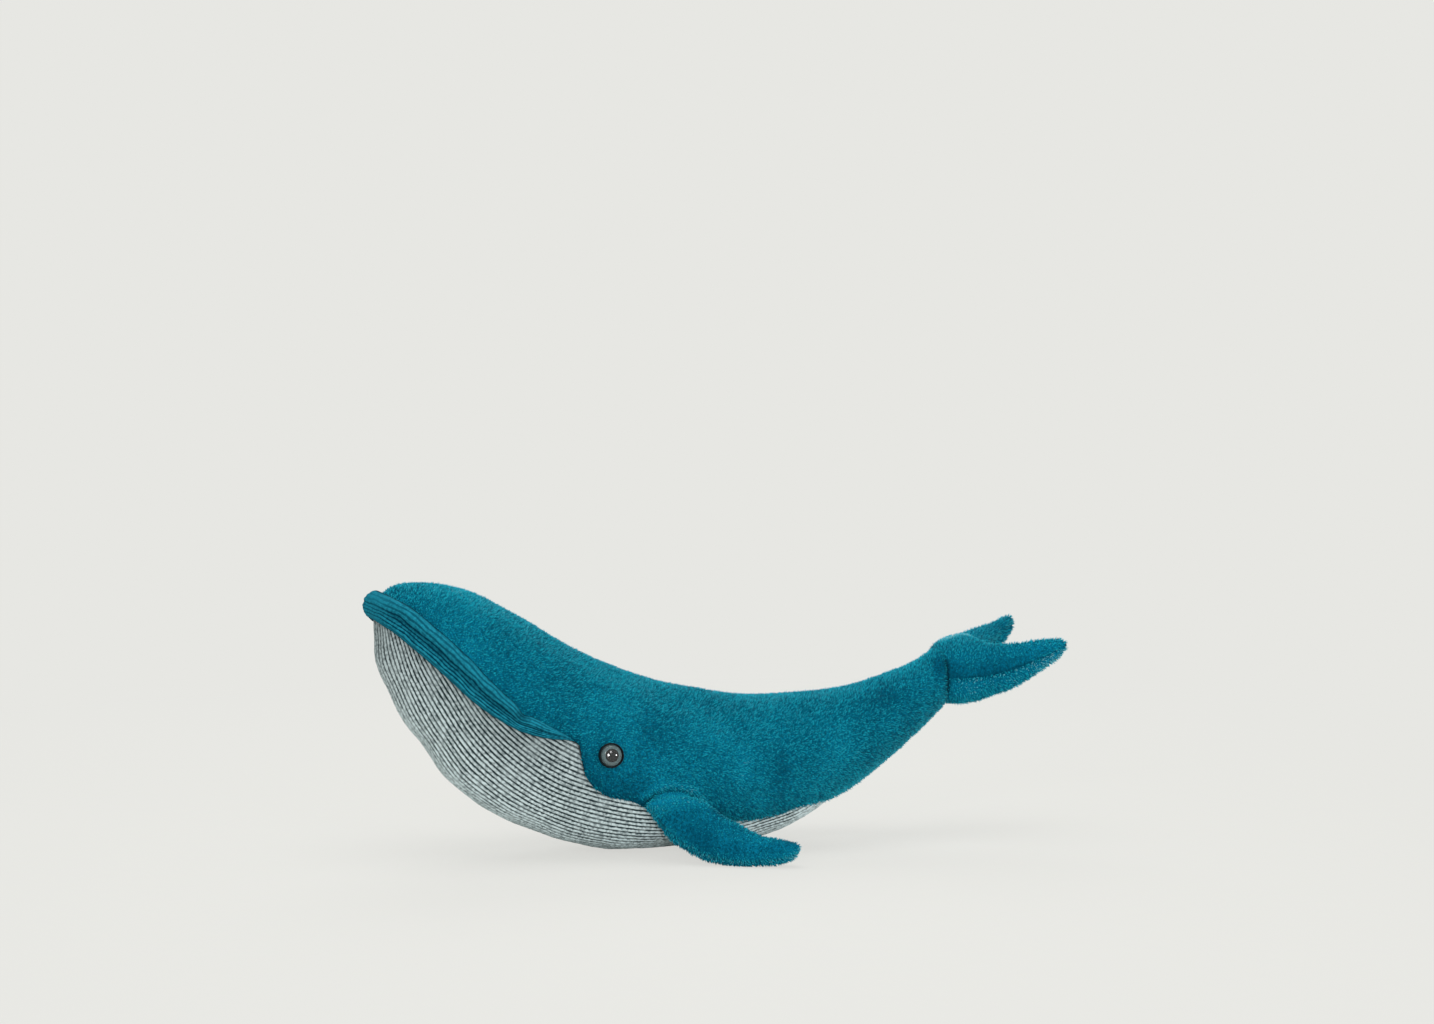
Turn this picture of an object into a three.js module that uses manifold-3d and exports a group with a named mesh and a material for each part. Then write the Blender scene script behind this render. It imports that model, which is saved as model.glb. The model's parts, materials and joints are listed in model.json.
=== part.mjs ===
// Plush whale resting on its belly, in millimetres with +Z up.
// The snout points to -X and the left side to -Y. The origin is at the middle of the footprint.

import * as THREE from "three";
import { mergeVertices } from "three/addons/utils/BufferGeometryUtils.js";
import Module from "manifold-3d";

const wasm = await Module();
wasm.setup();

// Body
const bodyLength = 454;
const bodyHeight = 199;
const bodyHalfWidth = 70;
const bellyFlatDepth = 0.5;

// Cloth and clearances
const clothWall = 2;
const seamEdge = 0.8;
const gap = 0.3;
const fillRoom = 0.8;
const fillEdge = 0.5;

// Lip roll
const lipWidth = 22;
const lipProud = 6.5;
const lipSink = 1;

// Eyes
const eyeDiameter = 18.5;
const eyeRimHeight = 2.6;
const eyeRimBevel = 0.6;
const eyeBackThickness = 1.2;
const eyeSink = 0.5;
const irisDiameter = 15;
const irisThickness = 0.6;
const pupilDiameter = 8.5;
const lensEdge = 0.5;
const lensDome = 3.6;
const postDiameter = 4;
const postLength = 12;
const washerDiameter = 13;
const washerThickness = 1.6;
const washerBite = 0.4;

// Side fins
const finLength = 80;
const finReach = 55.7;
const finSwell = 12.3;
const finRootRadius = 6;
const finTwistHeight = 38.5;
const finFloorGap = 0.4;

// Tail flukes
const flukeSpan = 117;
const flukeLength = 78;
const flukeSwell = 21.8;
const flukeRise = 27;
const flukeRoll = THREE.MathUtils.degToRad(4.2);
const flukeTilt = THREE.MathUtils.degToRad(18);
const tiltMargin = THREE.MathUtils.degToRad(1);

// Bean pouch in the belly
const pouchLength = 82;
const pouchWidth = 60;
const pouchSwell = 6;
const pouchCloth = 0.8;
const pouchSlitLength = 30;
const pouchSlitWidth = 1.5;

// Colours
const tealPile = "#0a6079";
const tealUnder = "#2a7287";
const greyCord = "#94a3a5";
const whiteFibre = "#ecebe4";
const blackPlastic = "#0b0d0e";
const silverTeal = "#6f8f92";
const clearLens = "#c8d4d4";
const naturalCotton = "#d8d0bc";
const greyPellet = "#b9bcb8";

// Each row is one station from snout to tail: the back line's place along the body and height, the
// belly line's place along the body and height, and the half width.
const stationShares = [
  [0.009, 0.94, 0.009, 0.94, 0.0],
  [0.03, 0.985, 0.014, 0.815, 0.31],
  [0.06, 1.022, 0.022, 0.715, 0.47],
  [0.112, 1.026, 0.046, 0.565, 0.64],
  [0.174, 0.985, 0.084, 0.43, 0.77],
  [0.243, 0.903, 0.135, 0.273, 0.87],
  [0.315, 0.8, 0.213, 0.14, 0.94],
  [0.392, 0.708, 0.298, 0.05, 0.985],
  [0.47, 0.645, 0.401, 0.0, 1.0],
  [0.547, 0.602, 0.504, 0.0, 0.985],
  [0.622, 0.575, 0.6, 0.006, 0.93],
  [0.697, 0.572, 0.694, 0.058, 0.83],
  [0.771, 0.58, 0.785, 0.17, 0.7],
  [0.84, 0.607, 0.866, 0.3, 0.57],
  [0.905, 0.657, 0.928, 0.412, 0.44],
  [0.955, 0.722, 0.972, 0.5, 0.34],
  [1.0, 0.785, 1.005, 0.54, 0.3],
];

// Where the teal side meets the grey throat: station number, and the way round from back to belly
// as a share of the half turn. The grey panel ends at the last row.
const seamShares = [
  [0.19, 0.42],
  [0.5, 0.4],
  [1.0, 0.4],
  [1.5, 0.415],
  [2.0, 0.43],
  [2.6, 0.45],
  [3.2, 0.464],
  [3.8, 0.48],
  [4.4, 0.493],
  [5.0, 0.495],
  [5.5, 0.494],
  [6.0, 0.478],
  [6.32, 0.465],
  [6.58, 0.464],
  [6.72, 0.511],
  [6.86, 0.555],
  [7.02, 0.58],
  [7.19, 0.596],
  [7.38, 0.606],
  [7.7, 0.602],
  [8.02, 0.621],
  [8.5, 0.636],
  [9.0, 0.655],
  [9.5, 0.675],
  [9.91, 0.69],
  [10.4, 0.697],
  [10.87, 0.691],
  [11.15, 0.701],
  [11.39, 0.728],
  [11.65, 0.772],
  [12.0, 0.833],
  [12.4, 0.905],
  [12.7, 0.983],
];
const tailRowShares = [12.76, 13.2, 13.8, 14.4, 15.0, 15.5, 16.0];
const headEndShare = 8.02;
const torsoEndShare = 11.39;
const fillStartShare = 0.5;
const fillRowShare = 0.25;
const lipCutShare = 7.02;
const pouchCentreShare = 0.507;
const eyeShares = [7.17, 0.463];
const finRootShares = [
  [7.85, 0.608],
  [9.1, 0.582],
];

// Lip roll from its rear point to the snout: station number, width and thickness.
const lipShares = [
  [6.42, 0.06, 0.12],
  [6.15, 0.3, 0.4],
  [5.8, 0.52, 0.65],
  [5.3, 0.72, 0.85],
  [4.7, 0.88, 1.0],
  [4.0, 0.97, 1.0],
  [3.3, 1.0, 1.0],
  [2.7, 1.0, 1.0],
  [2.1, 1.0, 0.97],
  [1.5, 0.98, 0.92],
  [1.0, 0.96, 0.95],
  [0.5, 0.93, 1.02],
  [0.0, 0.92, 1.08],
];

// Fin outline from the root to the tip: front edge back and out, rear edge back and out, and swell.
const finShares = [
  [-0.28, 0.0, 0.28, -0.02, 0.6],
  [-0.175, 0.1, 0.33, 0.045, 0.853],
  [0.017, 0.376, 0.415, 0.159, 0.908],
  [0.185, 0.605, 0.512, 0.273, 0.913],
  [0.36, 0.745, 0.6, 0.392, 0.848],
  [0.517, 0.848, 0.69, 0.506, 0.761],
  [0.676, 0.9, 0.772, 0.603, 0.674],
  [0.817, 0.934, 0.858, 0.688, 0.58],
  [0.932, 0.937, 0.931, 0.754, 0.445],
  [0.994, 0.896, 0.981, 0.815, 0.276],
  [1.012, 0.847, 1.007, 0.859, 0.1],
];
const finPivotShare = 0.743;
const finRampShare = 0.37;
const finNoseShares = [0.94, 0.7, 0.36];

// One fluke from the middle to the tip: way out, front edge back, rear edge back, and swell.
const flukeShares = [
  [0.0, -0.26, 0.51, 1.0],
  [0.16, -0.23, 0.545, 1.0],
  [0.33, -0.1, 0.56, 0.97],
  [0.5, 0.09, 0.673, 0.868],
  [0.66, 0.32, 0.808, 0.732],
  [0.79, 0.544, 0.937, 0.557],
  [0.885, 0.713, 1.027, 0.402],
  [0.945, 0.825, 1.046, 0.283],
  [0.98, 0.895, 1.066, 0.173],
  [1.0, 0.942, 1.078, 0.08],
];
const flukeBendShare = 1.77;

// The tail seam's place along the body and its height.
const tailSeamShares = [0.969, 0.626];

// Pouch outline along the body: place, half width and swell.
const pouchShares = [
  [-0.5, 0.8, 0.05],
  [-0.44, 0.95, 0.5],
  [-0.3, 1.0, 0.85],
  [0.0, 1.0, 1.0],
  [0.3, 1.0, 0.85],
  [0.44, 0.95, 0.5],
  [0.5, 0.8, 0.05],
];

// Counts
const sideColumns = 8;
const bellyColumns = 6;
const lipSides = 12;
const leafColumns = 7;
const finRows = 11;
const flukeHalfRows = 11;
const pouchRows = 8;
const eyeSegments = 16;
const domeSteps = 4;
const droopSteps = 20;
const weldShare = 0.003;
const bellyEase = 1.5;

const weldDistance = gap * weldShare;
const lastStation = stationShares.length - 1;
const frontX = -bodyLength / 2;
const flukeHalfSpan = flukeSpan / 2;
const tiltWedge = Math.tan(flukeTilt / 2 + tiltMargin);
const hingeX = frontX + tailSeamShares[0] * bodyLength;
const hingeZ = tailSeamShares[1] * bodyHeight;

// Solids

function toSolid(geometry) {
  const bare = geometry.index ? geometry.toNonIndexed() : geometry.clone();
  bare.deleteAttribute("normal");
  bare.deleteAttribute("uv");
  const merged = mergeVertices(bare, weldDistance);
  return new wasm.Manifold(
    new wasm.Mesh({
      numProp: 3,
      vertProperties: merged.attributes.position.array,
      triVerts: merged.index.array,
    }),
  );
}

function toGeometry(solid) {
  const mesh = solid.getMesh();
  const geometry = new THREE.BufferGeometry();
  geometry.setAttribute("position", new THREE.BufferAttribute(mesh.vertProperties, 3));
  geometry.setIndex(new THREE.BufferAttribute(mesh.triVerts, 1));
  return geometry;
}

function cut(geometry, tools) {
  const solid = tools.reduce((body, tool) => body.subtract(toSolid(tool)), toSolid(geometry));
  return toGeometry(solid);
}

function signedVolume(points, triangles) {
  let volume = 0;
  for (const [a, b, c] of triangles) {
    volume += points[a].dot(new THREE.Vector3().crossVectors(points[b], points[c]));
  }
  return volume;
}

// Geometry of listed points and triangles, turned so that its faces point outwards.
function facing(points, triangles) {
  const turned = signedVolume(points, triangles) < 0;
  const order = triangles.map(([a, b, c]) => (turned ? [a, c, b] : [a, b, c]));
  const geometry = new THREE.BufferGeometry();
  geometry.setFromPoints(points);
  geometry.setIndex(order.flat());
  return geometry;
}

// Closed solid between two sheets of points with the same rows and columns. From the mirror column
// on, each face is split along its other diagonal.
function sheetPair(outer, inner, mirrorColumn = Infinity) {
  const rows = outer.length;
  const columns = outer[0].length;
  const points = [...outer.flat(), ...inner.flat()];
  const start = rows * columns;
  const at = (sheet, row, column) => sheet * start + row * columns + column;
  const triangles = [];
  const quad = (a, b, c, d) => triangles.push([a, b, c], [a, c, d]);
  for (let row = 0; row < rows - 1; row++) {
    for (let column = 0; column < columns - 1; column++) {
      const corners = (sheet) => [
        at(sheet, row, column),
        at(sheet, row + 1, column),
        at(sheet, row + 1, column + 1),
        at(sheet, row, column + 1),
      ];
      const [a, b, c, d] = corners(0);
      const [e, f, g, h] = corners(1);
      if (column < mirrorColumn) {
        quad(a, b, c, d);
        quad(e, h, g, f);
      } else {
        quad(b, c, d, a);
        quad(f, e, h, g);
      }
    }
    const far = columns - 1;
    quad(at(0, row, 0), at(1, row, 0), at(1, row + 1, 0), at(0, row + 1, 0));
    quad(at(0, row, far), at(0, row + 1, far), at(1, row + 1, far), at(1, row, far));
  }
  for (let column = 0; column < columns - 1; column++) {
    const end = rows - 1;
    quad(at(0, 0, column), at(0, 0, column + 1), at(1, 0, column + 1), at(1, 0, column));
    quad(at(0, end, column), at(1, end, column), at(1, end, column + 1), at(0, end, column + 1));
  }
  return facing(points, triangles);
}

// Closed solid through rings of points, with a fan over each end. The second half of each ring
// splits its faces as a mirror of the first.
function ringStack(rings) {
  const sides = rings[0].length;
  const points = rings.flat();
  const triangles = [];
  for (let ring = 0; ring < rings.length - 1; ring++) {
    for (let side = 0; side < sides; side++) {
      const next = (side + 1) % sides;
      const [a, b] = [ring * sides + side, ring * sides + next];
      if (side < sides / 2) triangles.push([a, a + sides, b + sides], [a, b + sides, b]);
      else triangles.push([a, a + sides, b], [b, a + sides, b + sides]);
    }
  }
  for (const [ring, turned] of [
    [0, false],
    [rings.length - 1, true],
  ]) {
    const centre = new THREE.Vector3();
    rings[ring].forEach((point) => centre.addScaledVector(point, 1 / sides));
    points.push(centre);
    for (let side = 0; side < sides; side++) {
      const [a, b] = [ring * sides + side, ring * sides + ((side + 1) % sides)];
      triangles.push(turned ? [points.length - 1, b, a] : [points.length - 1, a, b]);
    }
  }
  return facing(points, triangles);
}

// Body skin

const backLine = new THREE.SplineCurve(
  stationShares.map(([along, height]) => new THREE.Vector2(along * bodyLength, height * bodyHeight)),
);
const bellyLine = new THREE.SplineCurve(
  stationShares.map(([, , along, height]) => new THREE.Vector2(along * bodyLength, height * bodyHeight)),
);
const widthLine = new THREE.SplineCurve(
  stationShares.map(([, , , , width], station) => new THREE.Vector2(station, width * bodyHalfWidth)),
);

// Point of the body's surface at a station number and a way round from back to belly.
function surfacePoint(station, round, side) {
  const share = station / lastStation;
  const back = backLine.getPoint(share);
  const belly = bellyLine.getPoint(share);
  const halfWidth = widthLine.getPoint(share).y;
  const angle = Math.PI * round;
  const rise = (1 + Math.cos(angle)) / 2;
  const line = belly.lerp(back, rise);
  return new THREE.Vector3(frontX + line.x, side * halfWidth * Math.sin(angle), line.y - bellyFlatDepth);
}

function surfaceNormal(station, round, side) {
  const step = 0.01;
  const ahead = Math.min(station + step, lastStation);
  const behind = Math.max(station - step, step);
  const along = surfacePoint(ahead, round, side).sub(surfacePoint(behind, round, side));
  const around = surfacePoint(station, round + step, side).sub(surfacePoint(station, round - step, side));
  return along.cross(around).multiplyScalar(side).normalize();
}

// Skin point moved out along the normal.
function skinPoint(station, round, side, offset) {
  const out = surfaceNormal(station, round, side);
  return surfacePoint(station, round, side).addScaledVector(out, offset);
}

// Way round that lies a given distance along the section at a station.
function roundFor(distance, station, round) {
  const step = 0.01;
  const reach = surfacePoint(station, round + step, 1).distanceTo(surfacePoint(station, round, 1));
  return (distance / reach) * step;
}

function seamAt(station) {
  const above = seamShares.findIndex(([place]) => place >= station);
  if (above < 0) return 1;
  if (above === 0) return seamShares[0][1];
  const [[placeA, roundA], [placeB, roundB]] = [seamShares[above - 1], seamShares[above]];
  return THREE.MathUtils.mapLinear(station, placeA, placeB, roundA, roundB);
}

function spread(first, last, count) {
  return Array.from({ length: count }, (_, index) => first + ((last - first) * index) / (count - 1));
}

// Ways round from a seam to the middle of the belly, closer together towards the middle.
function bellyColumnsFrom(seam) {
  return spread(1, 0, bellyColumns + 1).map((left) => 1 - (1 - seam) * left ** bellyEase);
}

const throatRows = seamShares.map(([station]) => station);
const bodyRows = [...throatRows, ...tailRowShares];

function sideColumnsAt(station) {
  const top = roundFor(gap / 2, station, 0);
  const seam = seamAt(station);
  return spread(top, seam - roundFor(gap / 2, station, seam), sideColumns);
}

function sidePanel(side) {
  const sheet = (offset) =>
    bodyRows.map((station) =>
      sideColumnsAt(station).map((round) => skinPoint(station, round, side, offset)),
    );
  return sheetPair(sheet(0), sheet(-clothWall));
}

// Ribbed panel under the body, cut flat where the body lies on the floor.
function bellyPanel() {
  const sheet = (offset) =>
    throatRows.map((station) => {
      const seam = seamAt(station);
      const half = bellyColumnsFrom(seam + roundFor(gap / 2, station, seam));
      const left = half.map((round) => skinPoint(station, round, -1, offset));
      const right = half.slice(0, -1).map((round) => skinPoint(station, round, 1, offset));
      return [...left, ...right.reverse()];
    });
  const floor = new THREE.BoxGeometry(2 * bodyLength, 2 * bodyLength, bodyHeight);
  floor.translate(0, 0, -bodyHeight / 2);
  return cut(sheetPair(sheet(0), sheet(-clothWall), bellyColumns), [floor]);
}

// Closed ring of skin points at a station, from the back down the left side and up the right, with
// the same columns as the panels.
function skinRing(station, offset) {
  const seam = seamAt(station);
  const half = [...spread(0, seam, sideColumns), ...bellyColumnsFrom(seam).slice(1)];
  const left = half.map((round) => skinPoint(station, round, -1, offset));
  const right = half.slice(1, -1).map((round) => skinPoint(station, round, 1, offset));
  return [...left, ...right.reverse()];
}

// Filling between two stations, inside the cloth. Its front face moves back by a clearance.
function filling(firstStation, lastFillStation, clearance) {
  const rows = [firstStation];
  for (const row of bodyRows) {
    const clearOfEnds = row > rows.at(-1) + fillRowShare && row < lastFillStation - fillRowShare;
    if (clearOfEnds) rows.push(row);
  }
  const rings = [...rows, lastFillStation].map((row) => skinRing(row, -(clothWall + fillRoom)));
  rings[0].forEach((point) => point.setX(point.x + clearance));
  return ringStack(rings);
}

// Front of the body with its clearance, which trims the back of the lip roll.
function lipCutter() {
  const rows = throatRows.filter((station) => station <= lipCutShare);
  return ringStack(rows.map((row) => skinRing(row, gap)));
}

// Padded roll swept round the snout along the mouth line, with its back cut by the body.
function lipRoll() {
  const leftHalf = lipShares.map((row) => [...row, -1]);
  const rightHalf = lipShares.slice(0, -1).map((row) => [...row, 1]);
  const places = [...leftHalf, ...rightHalf.reverse()];
  const centres = places.map(([station, , , side]) => surfacePoint(station, seamAt(station), side));
  const rings = places.map(([station, width, thickness, side], index) => {
    const before = centres[Math.max(index - 1, 0)];
    const after = centres[Math.min(index + 1, centres.length - 1)];
    const along = after.clone().sub(before).normalize();
    const out = station === 0 ? new THREE.Vector3(-1, 0, 0) : surfaceNormal(station, seamAt(station), side);
    const across = new THREE.Vector3().crossVectors(out, along).normalize();
    const centre = centres[index].clone().addScaledVector(out, -lipSink);
    return Array.from({ length: lipSides }, (_, corner) => {
      const angle = (2 * Math.PI * corner) / lipSides;
      const reach = (Math.cos(angle) * lipWidth * width) / 2;
      const lift = Math.sin(angle) * (lipProud + lipSink) * thickness;
      return centre.clone().addScaledVector(across, reach).addScaledVector(out, lift);
    });
  });
  return cut(ringStack(rings), [lipCutter()]);
}

// Eyes

function lathe(profile) {
  return new THREE.LatheGeometry(
    profile.map(([radius, height]) => new THREE.Vector2(radius, height)),
    eyeSegments,
  ).rotateX(Math.PI / 2);
}

function disc(radius, low, high) {
  return lathe([
    [0, low],
    [radius, low],
    [radius, high],
    [0, high],
  ]);
}

function annulus(innerRadius, outerRadius, low, high) {
  return lathe([
    [innerRadius, low],
    [outerRadius, low],
    [outerRadius, high],
    [innerRadius, high],
    [innerRadius, low],
  ]);
}

const eyeBackZ = -eyeSink;
const cupFloorZ = eyeBackZ + eyeBackThickness;
const irisTopZ = cupFloorZ + gap + irisThickness;
const lensSeatZ = irisTopZ + gap;
const rimTopZ = eyeBackZ + eyeRimHeight + eyeBackThickness;
const washerTopZ = -clothWall + washerBite;

function eyeCup() {
  const outer = eyeDiameter / 2;
  const inner = irisDiameter / 2 + gap;
  return lathe([
    [0, eyeBackZ - postLength],
    [postDiameter / 2, eyeBackZ - postLength],
    [postDiameter / 2, eyeBackZ],
    [outer, eyeBackZ],
    [outer, rimTopZ - eyeRimBevel],
    [outer - eyeRimBevel, rimTopZ],
    [inner, rimTopZ],
    [inner, cupFloorZ],
    [pupilDiameter / 2, cupFloorZ],
    [pupilDiameter / 2, irisTopZ],
    [0, irisTopZ],
  ]);
}

function eyeIris() {
  return annulus(pupilDiameter / 2 + gap, irisDiameter / 2, cupFloorZ + gap, irisTopZ);
}

function eyeLens() {
  const radius = irisDiameter / 2;
  const dome = spread(0, Math.PI / 2, domeSteps + 1).map((angle) => [
    radius * Math.cos(angle),
    lensSeatZ + lensEdge + lensDome * Math.sin(angle),
  ]);
  return lathe([[0, lensSeatZ], [radius, lensSeatZ], ...dome.slice(0, -1), [0, dome.at(-1)[1]]]);
}

function eyeWasher() {
  const inner = postDiameter / 2 + gap;
  return annulus(inner, washerDiameter / 2, washerTopZ - washerThickness, washerTopZ);
}

// Room for the eye in the cloth: a seat for the cup, a hole for the post and a seat for the washer.
function eyeClothTools(frame) {
  return [
    disc(eyeDiameter / 2 + gap, eyeBackZ - gap, eyeBackZ + eyeDiameter),
    disc(postDiameter / 2 + gap, eyeBackZ - postLength, eyeBackZ),
    disc(washerDiameter / 2 + gap, washerTopZ - washerDiameter, washerTopZ + gap),
  ].map((tool) => tool.applyMatrix4(frame));
}

function eyePocket(frame) {
  const radius = washerDiameter / 2 + gap;
  return disc(radius, eyeBackZ - postLength - gap, eyeBackZ + eyeDiameter).applyMatrix4(frame);
}

function eyeFrame(side) {
  const [station, round] = eyeShares;
  const out = surfaceNormal(station, round, side);
  const turn = new THREE.Quaternion().setFromUnitVectors(new THREE.Vector3(0, 0, 1), out);
  return new THREE.Matrix4().compose(surfacePoint(station, round, side), turn, new THREE.Vector3(1, 1, 1));
}

// Leaf forms: pairs of sheets over sections that run from a front edge to a rear edge.

function leafSheet(sections, lift, side, firstAngle, height) {
  return sections.map((section) => {
    const first = firstAngle(section);
    return spread(first, Math.PI - first, leafColumns + 1).map((angle) => {
      const across = (1 - Math.cos(angle)) / 2;
      const plan = section.front.clone().lerp(section.rear, across);
      const z = height(seamEdge + section.swell * Math.sin(angle));
      return new THREE.Vector3(plan.x, side * plan.y, z + lift(plan));
    });
  });
}

const wholeWidth = () => 0;

function leafPanel(sections, lift, side, facingUp) {
  const sign = facingUp ? 1 : -1;
  const outer = leafSheet(sections, lift, side, wholeWidth, (half) => sign * half);
  const inside = (half) => sign * Math.max(half - clothWall, gap / 2);
  const inner = leafSheet(sections, lift, side, wholeWidth, inside);
  return sheetPair(outer, inner);
}

// Core of a leaf inside a wall, as far towards its edges as the wall leaves room.
function leafCore(sections, lift, side, inset) {
  const needed = inset + fillEdge - seamEdge;
  const roomy = sections.filter((section) => section.swell > needed + fillEdge);
  const first = (section) => Math.asin(needed / section.swell);
  const sheet = (sign) => leafSheet(roomy, lift, side, first, (half) => sign * (half - inset));
  return sheetPair(sheet(1), sheet(-1));
}

function leafSections(table, rows, scaleX, scaleY, swell) {
  const line = (x, y) => new THREE.SplineCurve(table.map((row) => new THREE.Vector2(x(row), y(row))));
  const front = line(
    (row) => row[0] * scaleX,
    (row) => row[1] * scaleY,
  );
  const rear = line(
    (row) => row[2] * scaleX,
    (row) => row[3] * scaleY,
  );
  const swellLine = line(
    (row) => row[4] * swell,
    () => 0,
  );
  return spread(0, 1, rows).map((share) => ({
    front: front.getPoint(share),
    rear: rear.getPoint(share),
    swell: Math.max(swellLine.getPoint(share).x, 0),
  }));
}

// Fins

function finSections() {
  const leaf = leafSections(finShares, finRows, finLength, finReach, finSwell);
  const root = leaf[0];
  root.swell = finRootRadius - seamEdge;
  const nose = finNoseShares.map((share) => {
    const back = new THREE.Vector2(0, -finRootRadius * share);
    return {
      front: root.front.clone().add(back),
      rear: root.rear.clone().add(back),
      swell: Math.max(finRootRadius * Math.sqrt(1 - share * share) - seamEdge, 0),
    };
  });
  return [...nose, ...leaf];
}

// The fin's front edge hangs low and its tip turns up.
function finLift(plan) {
  const out = Math.max(plan.y / finReach, 0);
  return (finTwistHeight * (plan.x / finLength - finPivotShare) * out) / (out + finRampShare);
}

// Hinge frame of a fin held level: X runs back along the seam, Z up and square to it.
function finLevelFrame(side) {
  const [frontPlace, rearPlace] = finRootShares;
  const front = surfacePoint(...frontPlace, side);
  const rear = surfacePoint(...rearPlace, side);
  const middle = frontPlace.map((value, index) => (value + rearPlace[index]) / 2);
  const out = surfaceNormal(...middle, side);
  const centre = surfacePoint(...middle, side).addScaledVector(out, finRootRadius + gap);
  const back = rear.sub(front).normalize();
  const inward = new THREE.Vector3(0, 0, 1).cross(back).normalize();
  const square = back.clone().cross(inward);
  return new THREE.Matrix4().makeBasis(back, inward, square).setPosition(centre);
}

// The fin droops from its seam until its lowest point lies just over the floor.
function finFrame(side) {
  const under = leafSheet(finSections(), finLift, side, wholeWidth, (half) => -half).flat();
  const level = finLevelFrame(side);
  const drooped = (angle) => level.clone().multiply(new THREE.Matrix4().makeRotationX(-side * angle));
  const lowest = (angle) => {
    const frame = drooped(angle);
    return Math.min(...under.map((point) => point.clone().applyMatrix4(frame).z));
  };
  let [high, low] = [0, Math.PI / 3];
  for (let step = 0; step < droopSteps; step++) {
    const angle = (high + low) / 2;
    if (lowest(angle) > finFloorGap) high = angle;
    else low = angle;
  }
  return drooped(high);
}

// Flukes

function flukeSections() {
  const half = leafSections(
    flukeShares.map(([out, front, rear, swell]) => [front, out, rear, out, swell]),
    flukeHalfRows,
    flukeLength,
    flukeHalfSpan,
    flukeSwell,
  );
  const mirrored = half.slice(1).map((section) => ({
    front: section.front.clone().multiply(new THREE.Vector2(1, -1)),
    rear: section.rear.clone().multiply(new THREE.Vector2(1, -1)),
    swell: section.swell,
  }));
  return [...mirrored.reverse(), ...half];
}

// The flukes bend up towards their tips and lean to one side.
function flukeLift(plan) {
  const bend = flukeRise * Math.max(plan.x / flukeLength, 0) ** flukeBendShare;
  return bend + Math.tan(flukeRoll) * plan.y;
}

// Wedge of room on one side of the tail seam, so that the flukes can tilt.
function tailWedge(direction, origin) {
  const reach = bodyHalfWidth;
  const outline = new THREE.Shape([
    new THREE.Vector2((-direction * gap) / 2, 0),
    new THREE.Vector2(-direction * (gap / 2 + reach * tiltWedge), reach),
    new THREE.Vector2(direction * 2 * reach, reach),
    new THREE.Vector2(direction * 2 * reach, -reach),
    new THREE.Vector2(-direction * (gap / 2 + reach * tiltWedge), -reach),
  ]);
  return new THREE.ExtrudeGeometry(outline, { depth: 2 * reach, bevelEnabled: false })
    .translate(0, 0, -reach)
    .rotateX(Math.PI / 2)
    .translate(origin.x, origin.y, origin.z);
}

// Bean pouch

const pouchFloorZ = clothWall + fillRoom;

function pouchSections(grow) {
  const table = pouchShares.map(([along, width, swell]) => [along, -width, along, width, swell]);
  return leafSections(table, pouchRows, pouchLength + 2 * grow, pouchWidth / 2 + grow, pouchSwell);
}

// The pouch lies in the hollow of the belly, so its sides rise with it.
function pouchLift(plan) {
  const belly = bodyHalfWidth + clothWall;
  return (plan.y * plan.y) / (2 * belly) + (plan.x * plan.x) / (2 * bodyLength);
}

function pouchForm(grow) {
  const sections = pouchSections(grow);
  const sheet = (sign) => leafSheet(sections, pouchLift, 1, wholeWidth, (half) => sign * (half + grow));
  return sheetPair(sheet(1), sheet(-1));
}

function pouchCore(inset) {
  return leafCore(pouchSections(0), pouchLift, 1, inset);
}

// Meshes

function named(name, geometry, color, roughness, metalness = 0) {
  geometry.computeVertexNormals();
  const material = new THREE.MeshStandardMaterial({ color, roughness, metalness, flatShading: true });
  const mesh = new THREE.Mesh(geometry, material);
  mesh.name = name;
  return mesh;
}

function placed(frame, meshes) {
  const group = new THREE.Group();
  frame.decompose(group.position, group.quaternion, group.scale);
  group.add(...meshes);
  return group;
}

const sides = { left: -1, right: 1 };
const tailOrigin = new THREE.Vector3(hingeX, 0, hingeZ);
const whale = new THREE.Group();

const tailRoom = tailWedge(1, tailOrigin);
const pouchFrame = new THREE.Matrix4().makeTranslation(
  frontX + pouchCentreShare * bodyLength,
  0,
  pouchFloorZ + pouchSwell + seamEdge,
);

for (const [name, side] of Object.entries(sides)) {
  const panel = cut(sidePanel(side), [tailRoom, ...eyeClothTools(eyeFrame(side))]);
  whale.add(named(`side_panel_${name}`, panel, tealPile, 0.95));
}
whale.add(named("belly_panel", bellyPanel(), greyCord, 0.95));
whale.add(named("lip_roll", lipRoll(), tealPile, 0.95));

const headFilling = cut(filling(fillStartShare, headEndShare, 0), [
  eyePocket(eyeFrame(sides.left)),
  eyePocket(eyeFrame(sides.right)),
]);
const torsoFilling = cut(filling(headEndShare, torsoEndShare, gap), [
  pouchForm(gap).applyMatrix4(pouchFrame),
  pouchForm(gap).translate(0, 0, -pouchSwell).applyMatrix4(pouchFrame),
]);
const tailFilling = cut(filling(torsoEndShare, lastStation, gap), [tailRoom]);
whale.add(named("head_filling", headFilling, whiteFibre, 1));
whale.add(named("torso_filling", torsoFilling, whiteFibre, 1));
whale.add(named("tail_filling", tailFilling, whiteFibre, 1));

const slit = new THREE.BoxGeometry(pouchSlitLength, pouchSlitWidth, 2 * pouchSwell);
slit.translate(0, 0, pouchSwell + pouchCloth);
const pouch = cut(pouchForm(0), [pouchCore(pouchCloth), slit]);
const beans = pouchCore(pouchCloth + gap);
whale.add(
  placed(pouchFrame, [
    named("bean_pouch", pouch, naturalCotton, 0.9),
    named("bean_fill", beans, greyPellet, 0.7),
  ]),
);

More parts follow.
